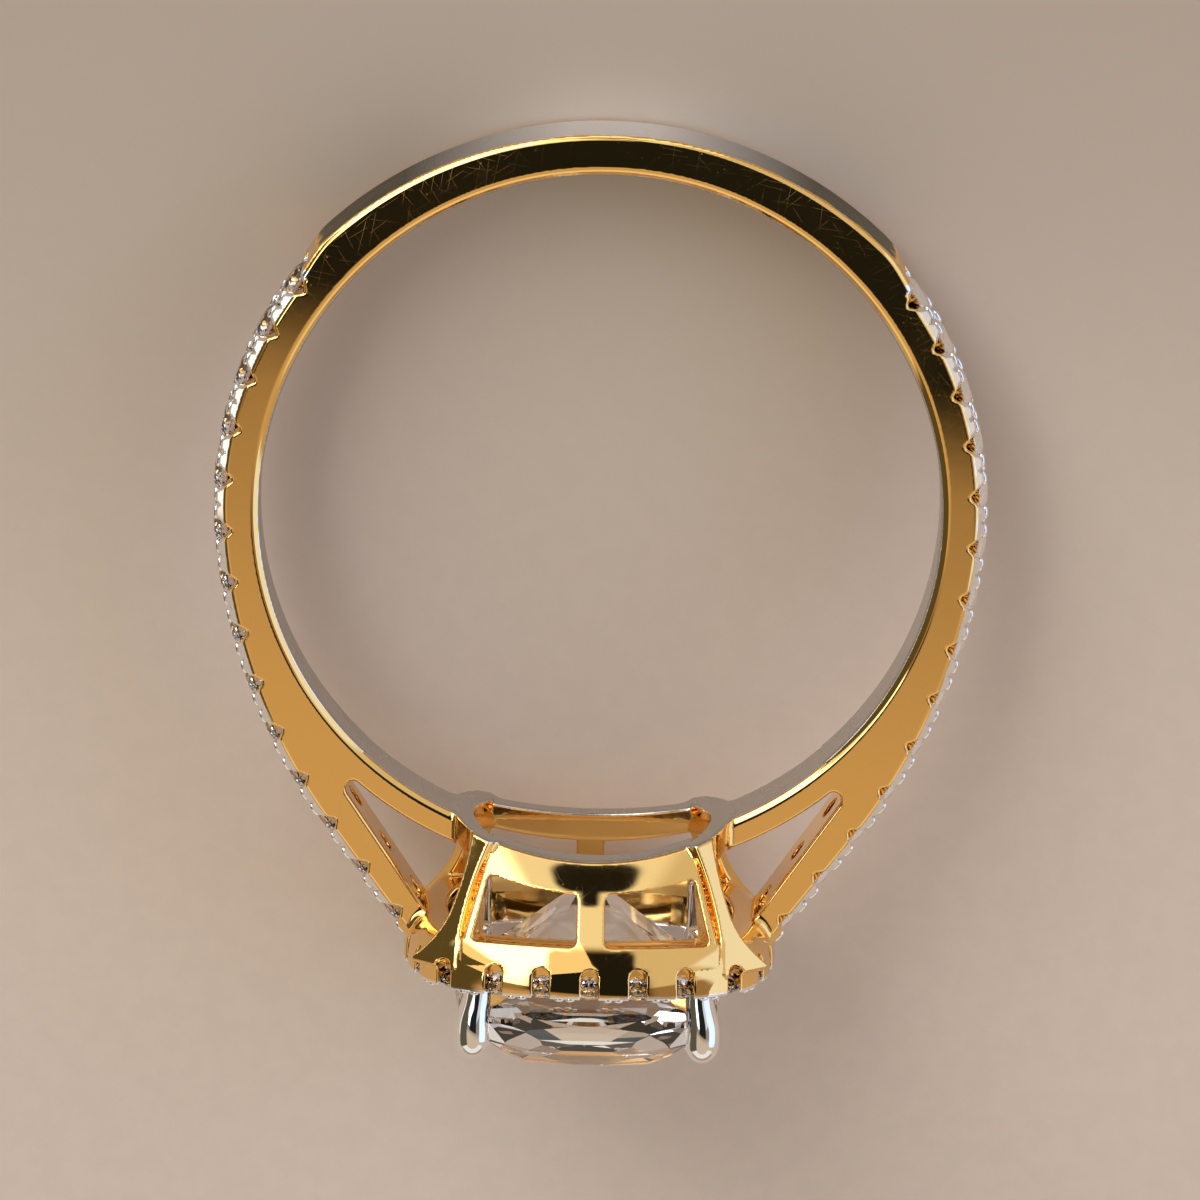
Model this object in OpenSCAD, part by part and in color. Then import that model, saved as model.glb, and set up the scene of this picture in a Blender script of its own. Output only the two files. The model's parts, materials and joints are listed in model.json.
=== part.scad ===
// Halo ring, lying on its side: a thin band with stone-set split shoulders, an open basket,
// a square halo of small stones and a raised cushion-shaped centre stone on four claws.
// The ring is drawn round its finger axis first, with +Z along the finger, the band's middle
// at +Y and the stone at -Y. It is then tipped so that the halo's rim and the band's edge
// both touch the surface at Z = 0.

/* [Band] */
// Radius of the finger hole
bore_r = 8.65; // [8:0.05:9.5]
// Width of the band along the finger
band_w = 2.2; // [2.1:0.05:2.3]
// Thickness of the plain band at its middle
band_t = 1.07; // [1:0.01:1.2]
// Thickness that the plain band gains towards its two ends
band_rise = 0.22; // [0.1:0.02:0.3]
// Angle from the middle of the plain band to each of its ends
plain_half = 51.5; // [48:0.5:54]
// Bevel along the band's edges
bevel = 0.12; // [0.05:0.01:0.15]

/* [Shoulders] */
// Thickness of the stone-set band
pave_t = 1.12; // [1.1:0.01:1.2]
// Angle where the stone-set band begins to rise towards the halo
rise_from = 96; // [92:1:100]
// Angle where the rising curve turns into a straight strand
straight_from = 142; // [140:1:144]
// Height gained at that angle
shoulder_rise = 1.11; // [1.05:0.01:1.16]
// Half distance between the outer faces of the two strands under the halo
foot_out = 4.95; // [4.8:0.05:5]
// Half distance between the inner faces of the two strands under the halo
foot_in = 3.95; // [3.85:0.05:4.1]
// Thickness of the inner strand, which follows the finger
inner_strand_t = 0.73; // [0.66:0.01:0.8]
// Angle of the rounded tip of the slot between the strands
slot_from = 139.1; // [138:0.1:140]
// Radius of that tip
slot_tip_r = 0.17; // [0.14:0.01:0.18]
// Number of stones on each shoulder
shoulder_stones = 14; // [12:1:14]
// Number of them, nearest the halo, that have an open hole behind them
pierced_stones = 4; // [0:1:4]
// Diameter of a shoulder stone
shoulder_gem_d = 1.2; // [1.0:0.05:1.22]
// Distance from one shoulder stone to the next
shoulder_pitch = 1.365; // [1.35:0.005:1.375]
// Angle of the first shoulder stone
first_stone = 54.4; // [54.2:0.1:54.8]

/* [Halo] */
// Half width of the halo
halo_half = 4.75; // [4.73:0.01:4.8]
// Half width of the line that the halo stones stand on
halo_line = 4.17; // [4.14:0.01:4.18]
// Radius of that line's bowed sides
halo_side_r = 8.0; // [7.8:0.1:8.4]
// Radius of that line's corners
halo_corner = 1.88; // [1.85:0.01:1.95]
// Height of the halo's rim above the finger axis
rim_h = 11.87; // [11.8:0.01:11.95]
// Height of the halo's underside
halo_under = 10.55; // [10.45:0.05:10.65]
// Number of halo stones, with one at each corner and at the middle of each side
halo_stones_n = 24; // [24:8:24]
// Diameter of a halo stone
halo_gem_d = 1.02; // [0.9:0.01:1.03]
// Width of the open notch beside each halo stone
notch_w = 0.5; // [0.4:0.01:0.54]
// Height of the notch above the rim's edge
notch_depth = 0.85; // [0.6:0.05:0.9]

/* [Basket] */
// Half length of the finger-side rail, across the finger
rail_half_l = 3.62; // [3.55:0.01:3.7]
// The same, at the rail's corners, where its bowed sides are closest
rail_corner_l = 2.95; // [2.9:0.05:3.05]
// Half length of that rail, along the finger
rail_half_f = 3.05; // [3:0.05:3.1]
// Corner radius of the rail
rail_corner = 0.45; // [0.4:0.05:0.6]
// Width of the rail's metal
rail_w = 0.6; // [0.5:0.05:0.7]
// Height of the rail's metal
rail_t = 0.77; // [0.74:0.01:0.85]
// Thickness of the basket's walls
wall_t = 0.55; // [0.5:0.05:0.6]
// Half length of a wall at the rail
wall_top_l = 2.82; // [2.75:0.01:2.9]
// Half length of a wall at the halo
wall_foot_l = 3.2; // [3.15:0.01:3.25]
// Distance of a corner post from the middle of the head, at the rail
post_top_d = 3.93; // [3.85:0.01:3.95]
// The same, at the halo
post_foot_d = 4.98; // [4.9:0.01:5.02]
// Width of the post between two windows
post_w = 0.66; // [0.5:0.02:0.8]
// Half width of the wall's windows near the halo
window_half = 3.02; // [2.9:0.01:3.05]
// Height of the windows' lower edge
window_foot = 10.62; // [10.5:0.02:10.64]

/* [Claws] */
// Direction of the claws, from across the finger towards along it
claw_turn = 41; // [40:0.5:42]
// Distance of a claw's tip from the stone's middle
claw_tip_d = 3.84; // [3.82:0.01:3.9]
// Distance of a claw from the stone's middle where it passes the halo
claw_rim_d = 3.98; // [3.96:0.01:4]
// Radius of a claw's rounded tip
claw_tip_r = 0.365; // [0.34:0.005:0.38]
// Radius of a claw where it passes the halo
claw_rim_r = 0.23; // [0.2:0.01:0.24]
// Height of the claws above the finger axis
claw_h = 13.95; // [13.8:0.01:14]

/* [Centre stone] */
// Half width of the centre stone
gem_half = 3.35; // [3.2:0.05:3.4]
// Height of the stone's table above the finger axis
table_h = 14.28; // [14.1:0.02:14.3]
// Height of the upper edge of the girdle
girdle_top = 12.75; // [12.7:0.05:12.8]
// Height of the lower edge of the girdle
girdle_foot = 12.5; // [12.45:0.05:12.55]
// Height of the stone's point
culet_h = 9.82; // [9.7:0.02:9.9]
// Half width of the table
table_half = 1.92; // [1.8:0.02:2.1]

/* [Fits] */
// Gap between a stone and its metal
gap = 0.03; // [0.02:0.01:0.04]

/* [Hidden] */
$fn = 96;
eps = 0.02;
gold = [0.86, 0.64, 0.27];
diamond = [0.88, 0.92, 0.96];

// Tip of the whole ring, from the two edges that touch the surface
rim_face = 0.45;
tilt = atan((halo_half - band_w / 2) / (rim_h - rim_face + bore_r + band_t - bevel));
lift = halo_half * cos(tilt) - (rim_h - rim_face) * sin(tilt);
front_y = (bore_r + band_t) * cos(tilt) + (band_w / 2 - bevel) * sin(tilt);
back_y = -table_h * cos(tilt) - table_half * sin(tilt);
shift_y = -(front_y + back_y) / 2;

// Circle of the plain band's outer face, which passes through its middle and its two ends
plain_in = bore_r + band_t;
plain_out = plain_in + band_rise;
plain_shift = (plain_out * plain_out - plain_in * plain_in)
    / (2 * (plain_in - plain_out * cos(plain_half)));
plain_r = plain_in + plain_shift;
plain_sweep = atan2(plain_out * sin(plain_half), plain_out * cos(plain_half) + plain_shift);

// Outer face of a shoulder, as a radius at an angle from the band's middle
pave_r = bore_r + pave_t;
rise_rate = shoulder_rise / pow(straight_from - rise_from, 2);
straight_start = ring_at(pave_r + shoulder_rise, straight_from);
strand_foot = [foot_out, -10.9];
inner_foot = [foot_in, -10.85];
strand_bury = 0.2;
function ring_at(r, a) = [r * sin(a), r * cos(a)];
function cross2(p, q) = p[0] * q[1] - p[1] * q[0];
function straight_r(a) = cross2(straight_start, strand_foot - straight_start)
    / cross2(ring_at(1, a), strand_foot - straight_start);
function curved_r(a) = pave_r + rise_rate * pow(max(0, a - rise_from), 2);
function shoulder_r(a) = a < straight_from ? curved_r(a) : straight_r(a);
function shoulder_at(a) = ring_at(shoulder_r(a), a);
function along(p, q, extra) = q + extra * (q - p) / norm(q - p);

// Angle of each shoulder stone, one pitch after another along the outer face
function step_of(a) = norm(shoulder_at(a + 0.5) - shoulder_at(a - 0.5));
function stone_a(i) = i == 0 ? first_stone : stone_a(i - 1) + shoulder_pitch / step_of(stone_a(i - 1));
function facing(a) = let (t = shoulder_at(a + 0.5) - shoulder_at(a - 0.5)) atan2(-t[1], t[0]);

// Halo line: bowed sides that run into round corners, measured from the middle of one side
side_back = halo_side_r - halo_line;
corner_c = (sqrt(2 * pow(halo_side_r - halo_corner, 2) - side_back * side_back) - side_back) / 2;
side_turn = atan2(corner_c, corner_c + side_back);
side_run = halo_side_r * side_turn * PI / 180;
corner_run = halo_corner * (90 - 2 * side_turn) * PI / 180;
quarter = 2 * side_run + corner_run;
function bowed(turn) = [halo_side_r * sin(turn), halo_side_r * cos(turn) - side_back, turn];
function cornered(turn) = [corner_c + halo_corner * sin(turn), corner_c + halo_corner * cos(turn), turn];
function far_bowed(turn) = let (p = bowed(90 - turn)) [p[1], p[0], turn];
function halo_place(t) =
    t < side_run ? bowed(t / halo_side_r * 180 / PI)
    : t < side_run + corner_run ? cornered(side_turn + (t - side_run) / halo_corner * 180 / PI)
    : far_bowed(90 - (quarter - t) / halo_side_r * 180 / PI);

wall_out = halo_half - halo_line;

// Reach of a wall's outer face at a height, as a plane and as a radius round the bowed side's centre
wall_top = bore_r - 0.65;
wall_foot = rim_h - 0.65;
wall_slope = (halo_half - rail_half_f) / (wall_foot - bore_r - 0.12);
function wall_f(h) = rail_half_f + wall_slope * (h - bore_r - 0.12);
function wall_r(h) = halo_side_r + 0.92 * wall_out - 0.45 * (wall_foot - h);

// Small stones, as shares of their diameter, and their depth below the metal
gem_crown = 0.16;
gem_depth = 0.43;
gem_table = 0.56;
gem_sunk = 0.12;

// Place the finished ring on its side
module lying() {
    translate([0, shift_y, lift]) rotate([-tilt, 0, 0]) children();
}

// Turn parts drawn upwards along the stone's axis into the ring
module head() {
    rotate([90, 0, 0]) children();
}

// Repeat on both sides of the head, or at its four corners
module both() {
    for (side = [0, 1]) mirror([side, 0, 0]) children();
}

module corners() {
    for (side = [0, 1]) mirror([0, side, 0]) both() children();
}

// Place a part on a shoulder, pointing outwards
module on_shoulder(a) {
    p = shoulder_at(a);
    translate([p[0], p[1], 0]) rotate([0, 0, -facing(a)]) rotate([-90, 0, 0]) children();
}

// Place a part on the halo line, with X along the line and Y outwards
module on_halo(i) {
    run = i * 4 * quarter / halo_stones_n;
    side = floor(run / quarter + eps / 10);
    p = halo_place(run - side * quarter);
    rotate([0, 0, -90 * side]) translate([p[0], p[1], 0]) rotate([0, 0, -p[2]]) children();
}

// Small eight-sided brilliant with its girdle at the origin
module gem(d) {
    cylinder(h = gem_crown * d, r1 = d / 2, r2 = gem_table * d / 2, $fn = 8);
    translate([0, 0, -gem_crown * d / 4]) cylinder(h = gem_crown * d / 4 + eps / 4, r = d / 2, $fn = 8);
    translate([0, 0, -gem_depth * d]) cylinder(h = (gem_depth - gem_crown / 4) * d + eps / 4,
        r1 = 0.04 * d, r2 = d / 2, $fn = 8);
}

// Room cut in the metal for one small stone
module seat(d) {
    translate([0, 0, -gem_crown * d / 4 - gap]) cylinder(h = d, r = d / 2 + gap);
    translate([0, 0, -gem_depth * d - gap]) cylinder(h = (gem_depth - gem_crown / 4) * d + eps / 2,
        r1 = 0.04 * d + gap, r2 = d / 2 + gap);
}

// Plain part of the band
module plain_band() {
    half = band_w / 2;
    inside = plain_r - band_t - band_rise - 0.2;
    translate([0, -plain_shift, 0])
        rotate_extrude(angle = 2 * plain_sweep, start = 90 - plain_sweep)
            polygon([
                [inside, -half],
                [plain_r - bevel, -half],
                [plain_r, -half + bevel],
                [plain_r, half - bevel],
                [plain_r - bevel, half],
                [inside, half]
            ]);
}

// Front outline of the right shoulder: one strand that splits in two round the slot
module shoulder_outline() {
    inner_out = bore_r + inner_strand_t;
    buried = bore_r - 0.3;
    tip = ring_at(inner_out + slot_tip_r, slot_from);
    out_dir = ring_at(1, slot_from);
    back_dir = [-out_dir[1], out_dir[0]];
    outer = [for (a = [plain_half - 1:1.5:straight_from]) shoulder_at(a)];
    foot = along(straight_start, strand_foot, strand_bury);
    slot_side = along(tip + slot_tip_r * out_dir, inner_foot, strand_bury);
    tip_round = [for (t = [0:15:180]) tip + slot_tip_r * (cos(t) * out_dir + sin(t) * back_dir)];
    inner = [for (a = [slot_from + 1.5:1.5:160]) ring_at(inner_out, a)];
    bore_side = [for (a = [160:-3:plain_half - 1]) ring_at(buried, a)];
    difference() {
        polygon(concat(outer, [foot, slot_side], tip_round, inner, bore_side));
        for (i = [0:shoulder_stones - 1]) shoulder_notch(stone_a(i));
    }
}

// Open notch beside a shoulder stone
module shoulder_notch(a) {
    p = shoulder_at(a);
    translate(p) rotate(-facing(a)) {
        translate([0, -0.11]) circle(r = 0.17, $fn = 24);
        translate([-0.17, -0.11]) square([0.34, 0.4]);
    }
}

// Both stone-set shoulders
module shoulders() {
    for (side = [0, 1]) mirror([side, 0, 0])
        linear_extrude(height = band_w, center = true) shoulder_outline();
}

// Plan of the rail: straight near and far faces, bowed sides and small corners
module rail_plan(inset) {
    reach_f = rail_half_f - inset;
    bow = (rail_half_l - rail_corner_l) / pow(rail_half_f - rail_corner, 2);
    corner = rail_corner - inset * 0.3;
    side_f = reach_f - corner;
    side = [for (k = [-6:6]) let (f = side_f * k / 6) [rail_half_l - inset - bow * f * f, f]];
    corner_l = side[12][0] - corner;
    far = [for (t = [15:15:90]) [corner_l + corner * cos(t), side_f + corner * sin(t)]];
    near = [for (t = [-90:15:-15]) [corner_l + corner * cos(t), -side_f + corner * sin(t)]];
    half = concat(near, side, far);
    polygon(concat(half, [for (p = half) -p]));
}

// Rail of the basket, which follows the finger
module rail() {
    intersection() {
        head() translate([0, 0, bore_r - 2.5]) linear_extrude(height = 4) difference() {
            rail_plan(0);
            rail_plan(rail_w);
        }
        cylinder(h = 4 * rail_half_f, r = bore_r + rail_t, center = true);
    }
}

// Outline of the window on the right of a post
module window_outline() {
    r = 0.16;
    top_r = bore_r + rail_t + 0.04;
    left = post_w / 2;
    top_out = window_half - 0.35;
    rail_side = [for (x = [left:(top_out - left) / 6:top_out + eps]) [x, sqrt(top_r * top_r - x * x)]];
    low_right = [for (t = [0:-30:-90])
        [window_half - r + r * cos(t), window_foot - r - r * sin(t)]];
    low_left = [for (t = [-90:-30:-180])
        [left + r + r * cos(t), window_foot - r - r * sin(t)]];
    polygon(concat(rail_side, low_right, low_left));
}

// Block inside a wall's outer face: a flared plane, rounded off like the halo's bowed side
module flare(over) {
    top = wall_top - over;
    foot = wall_foot + over;
    intersection() {
        rotate([90, 0, 90]) linear_extrude(height = 4 * wall_foot_l, center = true)
            polygon([[0, top], [wall_f(top), top], [wall_f(foot), foot], [0, foot]]);
        translate([0, -side_back, 0]) rotate_extrude(angle = 60, start = 60)
            polygon([[1, top], [wall_r(top), top], [wall_r(foot), foot], [1, foot]]);
    }
}

// Wall of the basket with its two windows
module wall() {
    difference() {
        intersection() {
            flare(0);
            rotate([90, 0, 0]) linear_extrude(height = 4 * halo_half, center = true) polygon([
                [-wall_top_l, wall_top],
                [wall_top_l, wall_top],
                [wall_foot_l, wall_foot],
                [-wall_foot_l, wall_foot]
            ]);
        }
        translate([0, -wall_t, 0]) flare(0.5);
        both() rotate([90, 0, 0]) linear_extrude(height = 4 * halo_half, center = true) window_outline();
    }
}

// Both walls of the basket
module walls() {
    head() for (side = [0, 1]) mirror([0, side, 0]) wall();
}

// Four corner posts that open out from the rail to the halo
module corner_posts() {
    top = wall_top;
    foot = rim_h - 0.57;
    thick = 0.6;
    head() corners() rotate([0, 0, 45]) intersection() {
        rotate([90, 0, 0]) linear_extrude(height = 2, center = true)
            polygon([[post_top_d - thick, top], [post_top_d, top], [post_foot_d, foot], [post_foot_d - thick, foot]]);
        rotate([90, 0, 90]) linear_extrude(height = 3 * post_foot_d, center = true)
            polygon([[-0.22, top], [0.22, top], [0.45, foot], [-0.45, foot]]);
    }
}

// Section of the halo's metal, measured outwards from the stone line and up to the rim
module halo_section(from) {
    polygon([
        [from - wall_out, rim_h],
        [from - wall_out, rim_h - 0.95],
        [from - wall_out / 2, halo_under],
        [from, halo_under],
        [from + wall_out * 0.75, halo_under + 0.5],
        [from + wall_out, rim_h - rim_face],
        [from + wall_out, rim_h]
    ]);
}

// Cushion-shaped ring of metal under the halo stones, with an open notch beside each stone
module halo_metal() {
    head() difference() {
        for (q = [0:3]) rotate([0, 0, 90 * q]) {
            both() translate([0, -side_back, 0])
                rotate_extrude(angle = side_turn, start = 90 - side_turn) halo_section(halo_side_r);
            translate([corner_c, corner_c, 0])
                rotate_extrude(angle = 90 - 2 * side_turn, start = side_turn) halo_section(halo_corner);
        }
        for (i = [0:halo_stones_n - 1]) on_halo(i) {
            halo_notch();
            translate([0, 0, rim_h - gem_sunk]) seat(halo_gem_d);
        }
    }
}

// Round-topped notch through the halo's outer wall, open at the rim
module halo_notch() {
    arch = rim_h - notch_depth + notch_w / 2;
    translate([0, 0.2, arch]) rotate([-90, 0, 0]) cylinder(h = 1, r = notch_w / 2, $fn = 24);
    translate([-notch_w / 2, 0.2, arch]) cube([notch_w, 1, notch_depth]);
}

// Four claws that rise out of the corner posts and lean in over the centre stone's corners
module claws() {
    root = [3.0, 2.9, halo_under - 0.3];
    rim = [claw_rim_d * cos(claw_turn), claw_rim_d * sin(claw_turn), rim_h];
    tip = [claw_tip_d * cos(claw_turn), claw_tip_d * sin(claw_turn), claw_h - claw_tip_r];
    head() difference() {
        corners() {
            pointing(root, rim) cylinder(h = norm(rim - root), r = claw_rim_r, $fn = 32);
            translate(rim) sphere(r = claw_rim_r * 1.06, $fn = 32);
            pointing(rim, tip) rotate_extrude($fn = 32) claw_profile(norm(tip - rim));
        }
        stone_room();
    }
}

// Half section of a claw above the halo: a slim cone with a rounded tip
module claw_profile(length) {
    r = claw_tip_r;
    tip_round = [for (t = [0:15:90]) [t == 90 ? 0 : r * cos(t), length + r * sin(t)]];
    polygon(concat([[0, 0], [claw_rim_r, 0]], tip_round));
}

// Point a part drawn upwards from one place to another
module pointing(from, to) {
    d = to - from;
    translate(from) rotate([0, acos(d[2] / norm(d)), atan2(d[1], d[0])]) children();
}

// Round room for the centre stone's corners
module stone_room() {
    corner_r = outline_r(gem_half, cushion, claw_turn) + gap;
    rotate_extrude() polygon([
        [0, culet_h - 0.3],
        [corner_r, girdle_foot - 0.1],
        [corner_r, girdle_top + 0.05],
        [table_half * 1.25, table_h + 0.1],
        [0, table_h + 0.1]
    ]);
}

// All the metal, cast and soldered into one
module ring_setting() {
    color(gold) lying() difference() {
        union() {
            plain_band();
            shoulders();
            rail();
            walls();
            corner_posts();
            halo_metal();
            claws();
        }
        cylinder(h = 4 * halo_half, r = bore_r, center = true, $fn = 180);
        for (side = [0, 1]) mirror([0, 0, side]) translate([0, 0, band_w / 2 - bevel])
            cylinder(h = bevel + eps, r1 = bore_r, r2 = bore_r + bevel + eps, $fn = 180);
        for (side = [0, 1]) mirror([side, 0, 0]) for (i = [0:shoulder_stones - 1])
            on_shoulder(stone_a(i)) {
                translate([0, 0, -gem_sunk]) seat(shoulder_gem_d);
                if (i >= shoulder_stones - pierced_stones)
                    translate([0, 0, -1.3]) cylinder(h = 1.2, r = 0.3, $fn = 32);
            }
    }
}

// One ring of the centre stone's outline at a given half width and squareness
cushion = 3.4;
gem_sides = 24;
function outline_r(half, power, a) = half / pow(pow(abs(cos(a)), power) + pow(abs(sin(a)), power), 1 / power);
function gem_ring(half, h, power, turn = 0) = [
    for (k = [0:gem_sides - 1])
        let (a = 360 * (k + turn) / gem_sides)
        let (r = outline_r(half, power, a))
        [r * cos(a), r * sin(a), h]
];

// Cushion-shaped centre stone with step facets under its table
module centre_stone() {
    levels = [
        gem_ring(gem_half * 0.22, culet_h + 0.45, 2.4, 0.5),
        gem_ring(gem_half * 0.62, 11.25, 2.8),
        gem_ring(gem_half, girdle_foot, cushion, 0.5),
        gem_ring(gem_half, girdle_top, cushion, 0.5),
        gem_ring(gem_half * 0.86, 13.45, cushion),
        gem_ring(table_half, table_h, 2.8, 0.5)
    ];
    n = gem_sides;
    top = len(levels) - 1;
    points = concat([for (l = levels, p = l) p], [[0, 0, culet_h]]);
    sides = [
        for (l = [0:top - 1], k = [0:n - 1])
            let (a = l * n + k, b = l * n + (k + 1) % n)
            each [[a, a + n, b], [b, a + n, b + n]]
    ];
    point = [for (k = [0:n - 1]) [(top + 1) * n, k, (k + 1) % n]];
    table = [[for (k = [n - 1:-1:0]) top * n + k]];
    color(diamond) lying() head() polyhedron(points, concat(sides, point, table), convexity = 2);
}

// Field of stones round the halo
module halo_stones() {
    color(diamond) lying() head() for (i = [0:halo_stones_n - 1])
        on_halo(i) translate([0, 0, rim_h - gem_sunk]) gem(halo_gem_d);
}

// Field of stones on one shoulder, the right one or its mirror image
module shoulder_row(side) {
    color(diamond) lying() mirror([side, 0, 0]) for (i = [0:shoulder_stones - 1])
        on_shoulder(stone_a(i)) translate([0, 0, -gem_sunk]) gem(shoulder_gem_d);
}

module shoulder_stones_left() {
    shoulder_row(1);
}

module shoulder_stones_right() {
    shoulder_row(0);
}

ring_setting();
centre_stone();
halo_stones();
shoulder_stones_left();
shoulder_stones_right();
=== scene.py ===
"""Halo ring lying on its side, dressed for the camera.

The metal is one cast form. Its shape is given as a distance in millimetres to the nearest metal
face, and its skin is found from that, so that every soldered joint and worn edge has its small
fillet. Millimetres are used while shaping, in the ring's own axes: X across the finger, Y towards
the middle of the plain band and Z along the finger. Meshes are written in metres, in the CAD's frame.
"""

import json
import logging
import math
from dataclasses import dataclass, field
from enum import Enum
from typing import Callable, Iterator, Optional, Sequence

import bmesh
import bpy
import numpy as np
from mathutils import Matrix, Vector


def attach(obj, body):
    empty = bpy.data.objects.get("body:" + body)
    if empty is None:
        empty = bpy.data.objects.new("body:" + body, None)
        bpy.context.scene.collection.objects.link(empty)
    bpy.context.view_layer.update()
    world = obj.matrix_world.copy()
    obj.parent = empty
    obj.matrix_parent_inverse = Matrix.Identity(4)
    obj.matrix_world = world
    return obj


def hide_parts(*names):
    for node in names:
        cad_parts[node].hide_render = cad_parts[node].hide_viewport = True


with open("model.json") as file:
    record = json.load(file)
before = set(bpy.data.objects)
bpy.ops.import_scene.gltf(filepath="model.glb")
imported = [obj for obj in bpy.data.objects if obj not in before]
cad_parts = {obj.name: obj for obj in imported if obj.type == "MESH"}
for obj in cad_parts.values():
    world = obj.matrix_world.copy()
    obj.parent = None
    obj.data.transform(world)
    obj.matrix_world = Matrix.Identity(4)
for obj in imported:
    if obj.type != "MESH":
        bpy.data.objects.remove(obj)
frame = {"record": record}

log = logging.getLogger("halo_ring")
Array = np.ndarray
MM = 0.001

# A distance in millimetres that is larger than any that matters
FAR = 9.0
# One over the square root of two, for faces at 45 degrees
DIAGONAL = 0.7071
# How fast a stone's seat narrows with its depth, and the cosine of that slope
SEAT_SLOPE = 1.15
SEAT_COSINE = 0.656

class Plating(Enum):
    """Colour of a metal surface."""

    TWO_TONE = "two tone"
    WHITE = "white"


# placing


@dataclass(frozen=True)
class Lying:
    """How the ring's own axes stand in the CAD's frame, read from the finger hole's mount."""

    tilt: float
    shift_y: float
    lift: float

    @classmethod
    def from_record(cls, record: dict) -> "Lying":
        """Read the finger hole's place and direction.

        Args:
            record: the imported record.

        Returns:
            The placing, in radians and millimetres.
        """
        hole = next(m for m in record["mounts"] if m["name"] == "finger_hole")
        axis = hole["axis"]
        return cls(math.atan2(axis[1], axis[2]), hole["pos_m"][1] / MM, hole["pos_m"][2] / MM)

    def points(self, p: Array) -> Array:
        """Turn points from ring millimetres into frame metres.

        Args:
            p: an (n, 3) array in the ring's axes.

        Returns:
            The same points in metres.
        """
        return (self.directions(p) + np.array([0.0, self.shift_y, self.lift])) * MM

    def directions(self, d: Array) -> Array:
        """Turn directions from the ring's axes into the frame's.

        Args:
            d: an (n, 3) array of directions.

        Returns:
            The turned directions.
        """
        c, s = math.cos(self.tilt), math.sin(self.tilt)
        return np.stack([d[:, 0], d[:, 1] * c + d[:, 2] * s, -d[:, 1] * s + d[:, 2] * c], axis=1)


# distance helpers


def round_meet(a: Array, b: Array, r: float) -> Array:
    """Where two solids overlap, with the edge between them rounded.

    Args:
        a: distance to the first solid.
        b: distance to the second solid.
        r: radius of the rounded edge.

    Returns:
        Distance to what both have in common.
    """
    u = np.maximum(a + r, 0.0)
    v = np.maximum(b + r, 0.0)
    return np.minimum(np.maximum(a, b), -r) + np.sqrt(u * u + v * v)


def round_join(a: Array, b: Array, r: float) -> Array:
    """Two solids as one, with a fillet in the corner between them.

    Args:
        a: distance to the first solid.
        b: distance to the second solid.
        r: radius of the fillet.

    Returns:
        Distance to the joined solid.
    """
    return -round_meet(-a, -b, r)


def round_cut(a: Array, b: Array, r: float) -> Array:
    """A solid with another one cut away from it, with a rounded lip.

    Args:
        a: distance to the solid that stays.
        b: distance to the solid that is taken away.
        r: radius of the lip.

    Returns:
        Distance to what is left.
    """
    return round_meet(a, -b, r)


def vee(u: Array, v: Array, deep: float, opening: float, tip: float) -> Array:
    """Distance to a V-shaped groove with a rounded bottom, negative in the groove.

    Args:
        u: distance from the groove's middle.
        v: height over the surface it is cut in.
        deep: its depth.
        opening: half its opening angle in degrees.
        tip: how wide its bottom is rounded.

    Returns:
        The distance.
    """
    c, s = math.cos(math.radians(opening)), math.sin(math.radians(opening))
    return (np.hypot(u, tip) - tip) * c - (v + deep) * s


def line_distance(x: Array, y: Array, p: Sequence[float], q: Sequence[float]) -> Array:
    """Signed distance to the line from p to q, positive on its right-hand side.

    Args:
        x: first coordinate.
        y: second coordinate.
        p: a point on the line.
        q: a further point on the line.

    Returns:
        The distance.
    """
    dx, dy = q[0] - p[0], q[1] - p[1]
    n = math.hypot(dx, dy)
    return ((x - p[0]) * dy - (y - p[1]) * dx) / n


# sizes of the metal


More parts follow.
